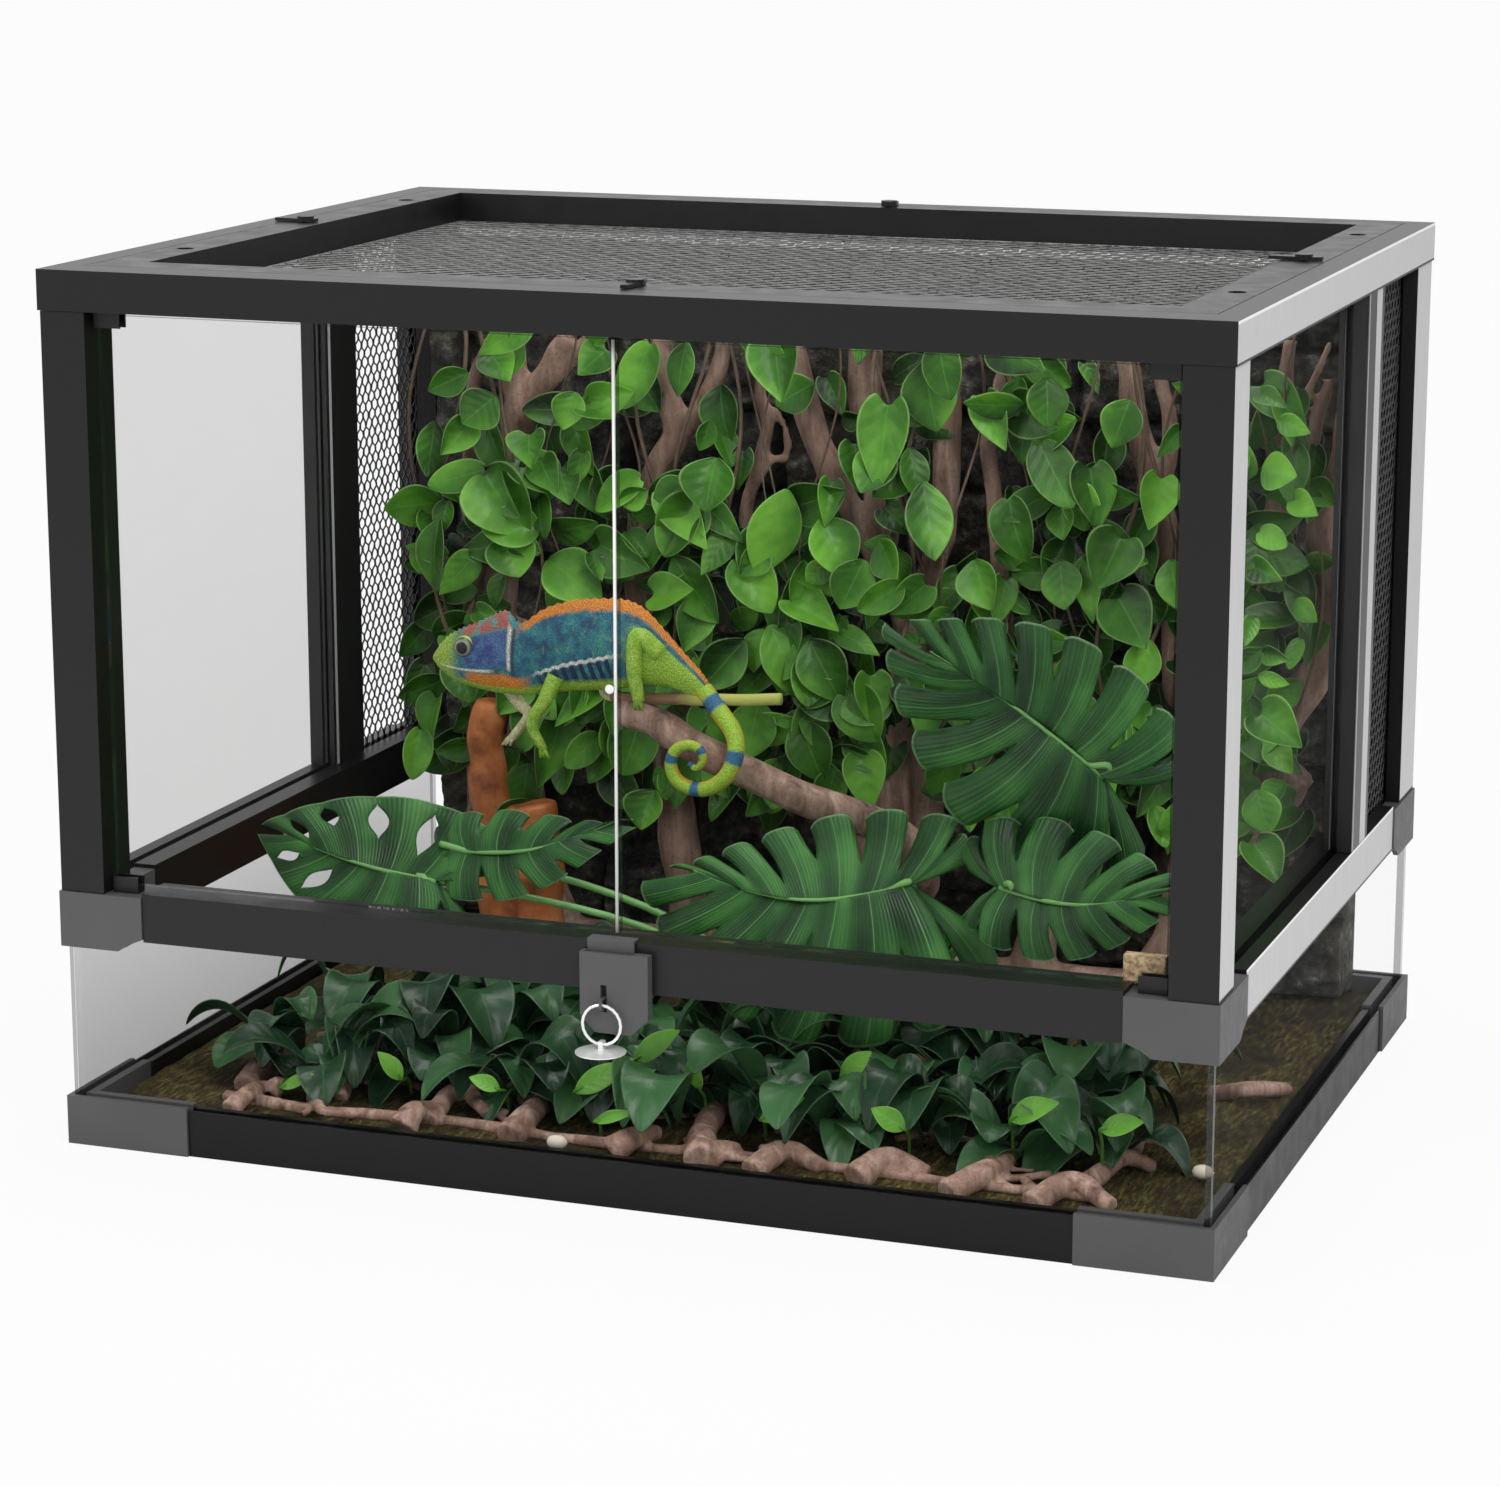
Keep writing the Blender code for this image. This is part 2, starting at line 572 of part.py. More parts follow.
def mid_profile(top_groove):
    """The middle rail's section; top_groove is the outer inset of the pane above, or None."""
    outer, inner = MID_RAIL_INSET, MID_RAIL_WIDTH
    low_out = LOWER_GLASS_INSET - GROOVE_SIDE_GAP
    low_in = LOWER_GLASS_INSET + GLASS + GROOVE_SIDE_GAP
    low_top = MID_RAIL_BOTTOM + MID_GROOVE_DEPTH
    points = [(outer, MID_RAIL_BOTTOM), (low_out, MID_RAIL_BOTTOM), (low_out, low_top), (low_in, low_top),
              (low_in, MID_RAIL_BOTTOM), (inner, MID_RAIL_BOTTOM), (inner, MID_RAIL_TOP)]
    if top_groove is not None:
        floor = MID_RAIL_TOP - MID_GROOVE_DEPTH
        out_edge, in_edge = top_groove - GROOVE_SIDE_GAP, top_groove + GLASS + GROOVE_SIDE_GAP
        points += [(in_edge, MID_RAIL_TOP), (in_edge, floor), (out_edge, floor), (out_edge, MID_RAIL_TOP)]
    points.append((outer, MID_RAIL_TOP))
    return points


def mid_frame():
    """The rails between the lower and upper panes, and their stepped corner connectors."""
    chamber_low = (MID_CHAMBER_START, MID_RAIL_BOTTOM + MID_WALL)
    chamber_high = (MID_RAIL_WIDTH - MID_WALL, MID_RAIL_TOP - MID_WALL)
    chamber = rectangle(chamber_low, chamber_high)
    inset = {"front": None, "back": REAR_GLASS_INSET, "left": SIDE_GLASS_INSET, "right": SIDE_GLASS_INSET}
    for side, groove in inset.items():
        arm = MID_CORNER_FRONT_ARM if side in ("front", "back") else MID_CORNER_SIDE_ARM
        span = WIDTH if side in ("front", "back") else DEPTH
        length = span - 2 * (arm + GAP)
        matrix = side_frame(side) @ Matrix.Translation((0, 0, -length / 2))
        keep(f"mid_rail_{side}", outline_mesh([mid_profile(groove), chamber], length, matrix), "frame")
    for x_side in (-1, 1):
        for y_side in (-1, 1):
            mid_corner(x_side, y_side, chamber_low, chamber_high)


def stepped_arm(arm):
    """The connector's face: deep at the corner, with a sloped step under the rail's end."""
    step = arm - MID_CORNER_STEP_START
    return [(0, MID_CORNER_BOTTOM), (step, MID_CORNER_BOTTOM),
            (arm - MID_CORNER_STEP_END, MID_RAIL_BOTTOM - MID_CORNER_STEP_LOW),
            (arm, MID_RAIL_BOTTOM + MID_CORNER_STEP_HIGH), (arm, MID_CORNER_TOP), (0, MID_CORNER_TOP)]


def mid_corner(x_side, y_side, chamber_low, chamber_high):
    """Two stepped arms that carry a post, grooved below for the panes, with a tongue for each rail."""
    name = corner_name("mid_corner", x_side, y_side)
    x_matrix = Matrix(((x_side * -1, 0, 0), (0, 0, -y_side), (0, 1, 0))).to_4x4()
    x_matrix.translation = (x_side * WIDTH / 2, y_side * DEPTH / 2, 0)
    y_matrix = Matrix(((0, 0, -x_side), (y_side * -1, 0, 0), (0, 1, 0))).to_4x4()
    y_matrix.translation = (x_side * WIDTH / 2, y_side * DEPTH / 2, 0)
    body = outline_mesh([stepped_arm(MID_CORNER_FRONT_ARM)], MID_RAIL_WIDTH, x_matrix)
    other = outline_mesh([stepped_arm(MID_CORNER_SIDE_ARM)], MID_RAIL_WIDTH, y_matrix)
    low = Vector(chamber_low) + Vector((TONGUE_GAP, TONGUE_GAP))
    high = Vector((chamber_high[0] - TONGUE_GAP, MID_CORNER_TOP - TONGUE_GAP))
    width = MID_RAIL_WIDTH / 2
    joins = [other,
             corner_box(x_side, y_side, (width, low.x), (MID_CORNER_FRONT_ARM + TONGUE_LENGTH, high.x),
                        low.y, high.y),
             corner_box(x_side, y_side, (low.x, width), (high.x, MID_CORNER_SIDE_ARM + TONGUE_LENGTH),
                        low.y, high.y)]
    body = combine(name, body, joins, "UNION")
    groove_out = LOWER_GLASS_INSET - GROOVE_SIDE_GAP
    groove_in = LOWER_GLASS_INSET + GLASS + GROOVE_SIDE_GAP
    bottom, top = MID_CORNER_BOTTOM - GLASS, MID_RAIL_BOTTOM + MID_GROOVE_DEPTH
    reach = MID_CORNER_SIDE_ARM + GLASS
    cuts = [corner_box(x_side, y_side, (groove_out, groove_out), (reach, groove_in), bottom, top),
            corner_box(x_side, y_side, (groove_out, groove_out), (groove_in, reach), bottom, top)]
    floor = MID_RAIL_TOP - MID_GROOVE_DEPTH
    side_edges = (SIDE_GLASS_INSET - GROOVE_SIDE_GAP, SIDE_GLASS_INSET + GLASS + GROOVE_SIDE_GAP)
    rear_edges = (REAR_GLASS_INSET - GROOVE_SIDE_GAP, REAR_GLASS_INSET + GLASS + GROOVE_SIDE_GAP)
    post_depth = FRONT_POST_DEPTH if y_side < 0 else REAR_POST_DEPTH
    start = post_depth - POST_GROOVE_DEPTH
    cuts.append(corner_box(x_side, y_side, (side_edges[0], start), (side_edges[1], reach),
                           floor, MID_RAIL_TOP))
    if y_side < 0:
        cuts.append(pivot_hole(x_side, MID_CORNER_TOP, -1))
    else:
        start = POST_WIDTH - POST_GROOVE_DEPTH
        cuts.append(corner_box(x_side, y_side, (start, rear_edges[0]), (reach, rear_edges[1]),
                               floor, MID_RAIL_TOP))
    keep(name, combine(name, body, cuts, "DIFFERENCE"), "connector")


def posts():
    """Corner posts, hollow in the middle, grooved for the side panes and the rear pane."""
    bottom = MID_CORNER_TOP + GAP
    height = TOP_FRAME_BOTTOM - GAP - bottom
    start = POST_INSET
    side_out = SIDE_GLASS_INSET - GROOVE_SIDE_GAP
    side_in = SIDE_GLASS_INSET + GLASS + GROOVE_SIDE_GAP
    rear_out = REAR_GLASS_INSET - GROOVE_SIDE_GAP
    rear_in = REAR_GLASS_INSET + GLASS + GROOVE_SIDE_GAP
    front_floor = FRONT_POST_DEPTH - POST_GROOVE_DEPTH
    rear_floor = REAR_POST_DEPTH - POST_GROOVE_DEPTH
    front = [(start, start), (POST_WIDTH, start), (POST_WIDTH, FRONT_POST_DEPTH),
             (side_in, FRONT_POST_DEPTH), (side_in, front_floor), (side_out, front_floor),
             (side_out, FRONT_POST_DEPTH), (start, FRONT_POST_DEPTH)]
    rear_edge = POST_WIDTH - POST_GROOVE_DEPTH
    rear = [(start, start), (POST_WIDTH, start), (POST_WIDTH, rear_out), (rear_edge, rear_out),
            (rear_edge, rear_in), (POST_WIDTH, rear_in), (POST_WIDTH, REAR_POST_DEPTH),
            (side_in, REAR_POST_DEPTH), (side_in, rear_floor), (side_out, rear_floor),
            (side_out, REAR_POST_DEPTH), (start, REAR_POST_DEPTH)]
    front_core = rectangle((start + POST_WALL, start + POST_WALL),
                           (POST_WIDTH - POST_WALL, front_floor - POST_WALL))
    rear_core = rectangle((start + POST_WALL, rear_in + POST_WALL),
                          (POST_WIDTH - POST_WALL, rear_floor - POST_WALL))
    plans = {-1: (front, front_core), 1: (rear, rear_core)}
    for x_side in (-1, 1):
        for y_side, plan in plans.items():
            loops = [[corner_point(x_side, y_side, *point) for point in loop] for loop in plan]
            mesh = outline_mesh(loops, height, Matrix.Translation((0, 0, bottom)))
            keep(corner_name("post", x_side, y_side), mesh, "frame")


def net_mesh(low, high, border, columns, rows, wire, thickness, matrix):
    """A framed net, flat, as one sheet with a grid of gaps."""
    pitch_u = (high[0] - low[0] - 2 * border + wire) / columns
    pitch_v = (high[1] - low[1] - 2 * border + wire) / rows
    loops = [rectangle(low, high)]
    for column in range(columns):
        for row in range(rows):
            start = (low[0] + border + column * pitch_u, low[1] + border + row * pitch_v)
            loops.append(rectangle(start, (start[0] + pitch_u - wire, start[1] + pitch_v - wire)))
    return outline_mesh(loops, thickness, matrix)


def side_windows():
    """Each side has a pane in front, a mullion, and a mesh vent behind it."""
    bottom = MID_RAIL_TOP - MID_GROOVE_DEPTH + GAP
    top = TOP_FRAME_BOTTOM + TOP_GROOVE_DEPTH - GAP
    front_edge = -DEPTH / 2 + FRONT_POST_DEPTH - POST_GROOVE_DEPTH + GAP
    rear_edge = DEPTH / 2 - REAR_POST_DEPTH + POST_GROOVE_DEPTH - GAP
    glass_edge = MULLION_FRONT + POST_GROOVE_DEPTH - GAP
    vent_edge = MULLION_REAR - POST_GROOVE_DEPTH + GAP
    side_out = SIDE_GLASS_INSET - GROOVE_SIDE_GAP
    side_in = SIDE_GLASS_INSET + GLASS + GROOVE_SIDE_GAP
    vent_out = SIDE_GLASS_INSET + (GLASS - VENT_THICKNESS) / 2
    mullion = [(MULLION_OUTER, MULLION_FRONT), (side_out, MULLION_FRONT), (side_out, glass_edge + GAP),
               (side_in, glass_edge + GAP), (side_in, MULLION_FRONT), (MULLION_INNER, MULLION_FRONT),
               (MULLION_INNER, MULLION_REAR), (side_in, MULLION_REAR), (side_in, vent_edge - GAP),
               (side_out, vent_edge - GAP), (side_out, MULLION_REAR), (MULLION_OUTER, MULLION_REAR)]
    for side, sign in (("left", -1), ("right", 1)):
        faces = sorted(sign * (WIDTH / 2 - inset) for inset in (SIDE_GLASS_INSET, SIDE_GLASS_INSET + GLASS))
        keep(f"side_glass_{side}", box_mesh((faces[0], front_edge, bottom), (faces[1], glass_edge, top)),
             "glass")
        loop = [(sign * (WIDTH / 2 - u), v) for u, v in mullion]
        height = TOP_FRAME_BOTTOM - MID_RAIL_TOP - 2 * GAP
        keep(f"side_mullion_{side}",
             outline_mesh([loop], height, Matrix.Translation((0, 0, MID_RAIL_TOP + GAP))), "silver")
        start = WIDTH / 2 - vent_out - VENT_THICKNESS if sign > 0 else -WIDTH / 2 + vent_out
        matrix = Matrix(((0, 0, 1), (1, 0, 0), (0, 1, 0))).to_4x4()
        matrix.translation = (start, 0, 0)
        net = net_mesh((vent_edge, bottom), (rear_edge, top), POST_GROOVE_DEPTH + VENT_BORDER, VENT_COLUMNS,
                       VENT_ROWS, VENT_WIRE, VENT_THICKNESS, matrix)
        keep(f"side_vent_{side}", net, "mesh")
    reach = POST_WIDTH - POST_GROOVE_DEPTH + GAP
    face = DEPTH / 2 - REAR_GLASS_INSET
    keep("rear_glass", box_mesh((-WIDTH / 2 + reach, face - GLASS, bottom),
                                (WIDTH / 2 - reach, face, top)), "glass")


def pivot_point(sign):
    """The plan position of a door's hinge axis."""
    x = sign * (WIDTH / 2 - POST_WIDTH - HINGE_SETBACK)
    return x, -DEPTH / 2 + DOOR_PLANE


def pivot_hole(sign, face, direction):
    """The cutter for a hinge pin's hole, into the rail below (-1) or the frame above (1)."""
    x, y = pivot_point(sign)
    deep = HINGE_PIN_LENGTH + HINGE_RUNNING_GAP
    return cylinder_mesh(HINGE_PIN_RADIUS + HINGE_RUNNING_GAP, (x, y, face - direction * GLASS),
                         (x, y, face + direction * deep), 12)


def lid_limits():
    """The lid's outer rectangle in plan, a seam inside the top frame's web."""
    low = (-WIDTH / 2 + TOP_SIDE_WEB + LID_SEAM, -DEPTH / 2 + TOP_FRONT_WEB + LID_SEAM)
    high = (WIDTH / 2 - TOP_SIDE_WEB - LID_SEAM, DEPTH / 2 - TOP_REAR_WEB - LID_SEAM)
    return low, high


def lid_opening():
    """The clear opening inside the lid's bars."""
    low, high = lid_limits()
    return (low[0] + LID_BAR, low[1] + LID_BAR), (high[0] - LID_BAR, high[1] - LID_REAR_BAR)


def top_frame():
    """One moulded ring with a rebate that carries the lid, grooved below for the panes."""
    web_low = (-WIDTH / 2 + TOP_SIDE_WEB, -DEPTH / 2 + TOP_FRONT_WEB)
    web_high = (WIDTH / 2 - TOP_SIDE_WEB, DEPTH / 2 - TOP_REAR_WEB)
    outer = rectangle((-WIDTH / 2, -DEPTH / 2), (WIDTH / 2, DEPTH / 2))
    rise = TOP_FRAME_BOTTOM + FLANGE_THICKNESS
    web = outline_mesh([outer, rectangle(web_low, web_high)], HEIGHT - rise, Matrix.Translation((0, 0, rise)))
    reach = FLANGE_REACH
    inner = rectangle((web_low[0] + reach, web_low[1] + reach),
                      (web_high[0] - reach, web_high[1] - min(reach, LID_REAR_BAR - LID_SEAM)))
    flange = outline_mesh([outer, inner], FLANGE_THICKNESS, Matrix.Translation((0, 0, TOP_FRAME_BOTTOM)))
    ring = combine("top_frame", web, [flange], "UNION")
    side_out = SIDE_GLASS_INSET - GROOVE_SIDE_GAP
    side_in = SIDE_GLASS_INSET + GLASS + GROOVE_SIDE_GAP
    rear_out = REAR_GLASS_INSET - GROOVE_SIDE_GAP
    rear_in = REAR_GLASS_INSET + GLASS + GROOVE_SIDE_GAP
    below, ceiling = TOP_FRAME_BOTTOM - GLASS, TOP_FRAME_BOTTOM + TOP_GROOVE_DEPTH
    start = -DEPTH / 2 + FRONT_POST_DEPTH - POST_GROOVE_DEPTH
    stop = DEPTH / 2 - REAR_POST_DEPTH + POST_GROOVE_DEPTH
    cuts = []
    for sign in (-1, 1):
        faces = sorted(sign * (WIDTH / 2 - inset) for inset in (side_out, side_in))
        cuts.append(box_mesh((faces[0], start, below), (faces[1], stop, ceiling)))
        cuts.append(pivot_hole(sign, TOP_FRAME_BOTTOM, 1))
    reach = POST_WIDTH - POST_GROOVE_DEPTH
    cuts.append(box_mesh((-WIDTH / 2 + reach, DEPTH / 2 - rear_in, below),
                         (WIDTH / 2 - reach, DEPTH / 2 - rear_out, ceiling)))
    keep("top_frame", combine("top_frame", ring, cuts, "DIFFERENCE"), "frame")


def lid():
    """The lift-off lid: a frame with a groove that grips the mesh, cable holes and clip pin holes."""
    low, high = lid_limits()
    open_low, open_high = lid_opening()
    bottom = TOP_FRAME_BOTTOM + FLANGE_THICKNESS + GAP
    matrix = Matrix.Translation((0, 0, bottom))
    frame = outline_mesh([rectangle(low, high), rectangle(open_low, open_high)], HEIGHT - bottom, matrix)
    mesh_bottom = HEIGHT - LID_MESH_DROP
    mesh_low = (open_low[0] - LID_MESH_GRIP, open_low[1] - LID_MESH_GRIP)
    mesh_high = (open_high[0] + LID_MESH_GRIP, open_high[1] + LID_MESH_GRIP)
    cuts = [box_mesh((mesh_low[0] - GAP, mesh_low[1] - GAP, mesh_bottom - GAP),
                     (mesh_high[0] + GAP, mesh_high[1] + GAP, mesh_bottom + LID_MESH_THICKNESS + GAP))]
    middle = (low[0] + open_low[0]) / 2
    for x in (middle, -middle):
        for y in (CABLE_HOLE_MIDDLE - CABLE_HOLE_SPAN / 2, CABLE_HOLE_MIDDLE + CABLE_HOLE_SPAN / 2):
            cuts.append(cylinder_mesh(CABLE_HOLE_RADIUS, (x, y, bottom - GLASS), (x, y, HEIGHT + GLASS)))
    for x, y in clip_places().values():
        cuts.append(cylinder_mesh(CLIP_PIN_RADIUS + CLIP_RUNNING_GAP, (x, y, HEIGHT + GLASS),
                                  (x, y, HEIGHT - CLIP_PIN_DEPTH - CLIP_RUNNING_GAP), 12))
    keep("lid_frame", combine("lid_frame", frame, cuts, "DIFFERENCE"), "frame")
    net = net_mesh(mesh_low, mesh_high, LID_MESH_GRIP + LID_WIRE, LID_COLUMNS, LID_ROWS, LID_WIRE,
                   LID_MESH_THICKNESS, Matrix.Translation((0, 0, mesh_bottom)))
    keep("lid_mesh", net, "mesh")


def clip_places():
    """Where each clip's pin stands on the lid's bars."""
    low, high = lid_limits()
    side = low[0] + LID_BAR / 2
    return {"left": (side, CLIP_OFFSET["left"]), "right": (-side, CLIP_OFFSET["right"]),
            "front": (CLIP_OFFSET["front"], low[1] + LID_BAR / 2),
            "back": (CLIP_OFFSET["back"], high[1] - LID_REAR_BAR / 2)}


def lid_clips():
    """Turn clips: a block on a pin, with a blade that lies across the seam on to the top frame."""
    toward = {"left": (-1, 0), "right": (1, 0), "front": (0, -1), "back": (0, 1)}
    for side, (x, y) in clip_places().items():
        bottom = HEIGHT + GAP
        along = Vector((*toward[side], 0.0))
        across = Vector((-along.y, along.x, 0.0))
        half = CLIP_WIDTH / 2
        start, end = -CLIP_TAIL[side], CLIP_REACH[side]
        plan = [(start, -half * 0.6), (-half, -half), (half, -half), (end, -half * 0.5),
                (end, half * 0.5), (half, half), (-half, half), (start, half * 0.6)]
        loop = [(x + along.x * a + across.x * b, y + along.y * a + across.y * b) for a, b in plan]
        blade = outline_mesh([loop], CLIP_THICKNESS * 0.6, Matrix.Translation((0, 0, bottom)))
        parts = [cylinder_mesh(CLIP_BLOCK_RADIUS, (x, y, bottom + GAP), (x, y, bottom + CLIP_THICKNESS), 16),
                 cylinder_mesh(CLIP_PIN_RADIUS, (x, y, HEIGHT - CLIP_PIN_DEPTH),
                               (x, y, bottom + CLIP_THICKNESS / 2), 12)]
        mesh = combine(f"lid_clip_{side}", blade, parts, "UNION")
        keep(f"lid_clip_{side}", mesh, "frame", (x, y, HEIGHT))


def doors():
    """Two plain glass doors that turn on pins in small shoes at their outer corners."""
    plane = -DEPTH / 2 + DOOR_PLANE
    bottom, top = MID_RAIL_TOP + DOOR_BOTTOM_GAP, TOP_FRAME_BOTTOM - DOOR_TOP_GAP
    outer = WIDTH / 2 - POST_WIDTH - DOOR_CLEARANCE
    seal_half = SEAL_WIDTH / 2
    for side, sign in (("left", -1), ("right", 1)):
        x, y = pivot_point(sign)
        inner = seal_half + GAP if sign < 0 else DOOR_MEETING_GAP
        edges = sorted((sign * outer, sign * inner))
        keep(f"door_glass_{side}", box_mesh((edges[0], plane - GLASS / 2, bottom),
                                            (edges[1], plane + GLASS / 2, top)), "glass", (x, y, bottom))
        hinge_shoe(f"door_hinge_lower_{side}", sign, MID_CORNER_TOP, bottom, 1)
        hinge_shoe(f"door_hinge_upper_{side}", sign, TOP_FRAME_BOTTOM, top, -1)
    keep("door_seal_strip", box_mesh((-seal_half, plane - SEAL_DEPTH / 2, bottom),
                                     (seal_half, plane + SEAL_DEPTH / 2, top)),
         "white", (*pivot_point(-1), bottom))
    door_knob(plane)


def hinge_shoe(name, sign, face, glass_edge, direction):
    """A clamp on the glass's corner, with the pivot pin that runs in the connector or the top frame."""
    x, y = pivot_point(sign)
    near = face + direction * GAP
    far = face + direction * (GAP + HINGE_SHOE_HEIGHT)
    half = HINGE_SHOE_DEPTH / 2
    edges = sorted((x + sign * HINGE_SHOE_BACK, x - sign * HINGE_SHOE_FRONT))
    levels = sorted((near, far))
    shoe = box_mesh((edges[0], y - half, levels[0]), (edges[1], y + half, levels[1]))
    pin = cylinder_mesh(HINGE_PIN_RADIUS, (x, y, near + direction * GLASS / 4),
                        (x, y, face - direction * HINGE_PIN_LENGTH), 12)
    shoe = combine(name, shoe, [pin], "UNION")
    levels = sorted((glass_edge - direction * GAP, far + direction * GLASS))
    reach = WIDTH / 2 - POST_WIDTH - DOOR_CLEARANCE + GAP
    edges = sorted((sign * reach, x - sign * (HINGE_SHOE_FRONT + GLASS)))
    slot = box_mesh((edges[0], y - GLASS / 2 - GAP, levels[0]), (edges[1], y + GLASS / 2 + GAP, levels[1]))
    keep(name, combine(name, shoe, [slot], "DIFFERENCE"), "connector", (x, y, face))


def door_knob(plane):
    """A small mushroom knob on the left door's seal strip."""
    face = plane - SEAL_DEPTH / 2 - GAP
    x = -KNOB_RADIUS + SEAL_WIDTH / 2
    profile = [(0.0, KNOB_REACH), (KNOB_RADIUS * 0.6, KNOB_REACH * 0.93), (KNOB_RADIUS, KNOB_REACH * 0.72),
               (KNOB_RADIUS * 0.85, KNOB_REACH * 0.52), (KNOB_STEM_RADIUS, KNOB_REACH * 0.45),
               (KNOB_STEM_RADIUS, 0.0), (0.0, 0.0)]
    keep("door_knob", turned_mesh(profile, (x, face, KNOB_HEIGHT), (0, -1, 0)), "white",
         (*pivot_point(-1), KNOB_HEIGHT))


def turned_mesh(profile, place, axis, steps=16):
    """A turned shape: a profile of (radius, height), top first, spun about its axis."""
    work = bmesh.new()
    points = [work.verts.new((radius, 0.0, height)) for radius, height in profile]
    for first, second in zip(points, points[1:]):
        work.edges.new((first, second))
    mesh = bpy.data.meshes.new("turned")
    work.to_mesh(mesh)
    work.free()
    item = add_object("turned", mesh, bpy.context.scene.collection)
    turn = Vector(axis).to_track_quat("Z", "Y").to_matrix().to_4x4()
    item.matrix_world = Matrix.Translation(place) @ turn
    screw = item.modifiers.new("screw", "SCREW")
    screw.axis = "Z"
    screw.steps = steps
    screw.render_steps = steps
    screw.use_merge_vertices = True
    screw.merge_threshold = 0.00001
    result = baked_copy(item)
    finish_mesh(result, 40)
    return result


def lock():
    """The catch slides up behind its cover, and a ring and a round plate hang from its staple."""
    face = -DEPTH / 2 + MID_RAIL_INSET - GAP
    front = face - LOCK_DEPTH
    half = LOCK_WIDTH / 2
    bulge = [(LOCK_CENTRE + half * math.sin(math.radians(angle)) / math.sin(math.radians(60)),
              front - LOCK_BULGE * (math.cos(math.radians(angle)) - 0.5) * 2)
             for angle in range(-60, 61, 20)]
    plan = [(LOCK_CENTRE - half, face)] + bulge + [(LOCK_CENTRE + half, face)]
    cover = outline_mesh([plan], LOCK_TOP - LOCK_BOTTOM, Matrix.Translation((0, 0, LOCK_BOTTOM)))
    catch_half = CATCH_WIDTH / 2
    room = (CATCH_CENTRE - catch_half - GAP, CATCH_CENTRE + catch_half + GAP)
    cuts = [box_mesh((room[0], front + LOCK_WALL, CATCH_BOTTOM - GAP),
                     (room[1], face + GLASS, LOCK_TOP + GLASS)),
            box_mesh((STAPLE_OFFSET - 2 * STAPLE_WIRE, front - GLASS, RING_TOP - STAPLE_RISE - 2 * STAPLE_WIRE),
                     (STAPLE_OFFSET + 2 * STAPLE_WIRE, face, RING_TOP + STAPLE_RISE + CATCH_TRAVEL
                      + 2 * STAPLE_WIRE))]
    for sign in (-1, 1):
        corner = LOCK_CENTRE + sign * half
        triangle = [(corner + sign * GLASS, LOCK_BOTTOM - GLASS),
                    (corner - sign * (LOCK_CHAMFER + GLASS * 0.8), LOCK_BOTTOM - GLASS),
                    (corner + sign * GLASS, LOCK_BOTTOM + LOCK_CHAMFER + GLASS * 0.8)]
        matrix = Matrix(((1, 0, 0), (0, 0, 1), (0, 1, 0))).to_4x4()
        matrix.translation = (0, front - GLASS, 0)
        cuts.append(outline_mesh([triangle], LOCK_DEPTH + 2 * GLASS, matrix))
    cover = combine("lock_cover", cover, cuts, "DIFFERENCE")
    keep("lock_cover", cover, "connector")
    back = face - GAP
    lip_bottom = MID_RAIL_TOP + GAP
    side_view = [(back, CATCH_BOTTOM), (back, lip_bottom), (back + CATCH_LIP_REACH, lip_bottom),
                 (back + CATCH_LIP_REACH, lip_bottom + CATCH_LIP),
                 (back - CATCH_THICKNESS, lip_bottom + CATCH_LIP), (back - CATCH_THICKNESS, CATCH_BOTTOM)]
    matrix = Matrix(((0, 0, 1), (1, 0, 0), (0, 1, 0))).to_4x4()
    matrix.translation = (CATCH_CENTRE - catch_half, 0, 0)
    plate = outline_mesh([side_view], CATCH_WIDTH, matrix)
    root = back - CATCH_THICKNESS / 2
    tip = front - LOCK_BULGE - STAPLE_REACH + STAPLE_RISE
    loop = [(STAPLE_OFFSET, root, RING_TOP + STAPLE_RISE)]
    for step in range(5):
        angle = math.radians(90 - 45 * step)
        loop.append((STAPLE_OFFSET, tip - STAPLE_RISE * math.cos(angle),
                     RING_TOP + STAPLE_RISE * math.sin(angle)))
    loop.append((STAPLE_OFFSET, root, RING_TOP - STAPLE_RISE))
    staple = tube_mesh(loop, [STAPLE_WIRE] * len(loop), 8)
    keep("lock_catch", combine("lock_catch", plate, [staple], "UNION"), "connector",
         (CATCH_CENTRE, face, lip_bottom))
    pull_ring(ring_plane())


def ring_plane():
    """The plane that the ring hangs in, just inside the staple's front bend."""
    cover_front = -DEPTH / 2 + MID_RAIL_INSET - GAP - LOCK_DEPTH - LOCK_BULGE
    return cover_front - STAPLE_REACH + STAPLE_WIRE + RING_WIRE + GAP


def make_stand():
    """The empty that carries every piece, so that the whole part's box stands over the origin."""
    front_reach = -ring_plane() + PULL_SET_FORWARD + PULL_RADIUS
    stand = add_object("stand", None, bpy.context.scene.collection)
    stand.location = (0.0, (front_reach - DEPTH / 2) / 2, 0.0)
    return stand


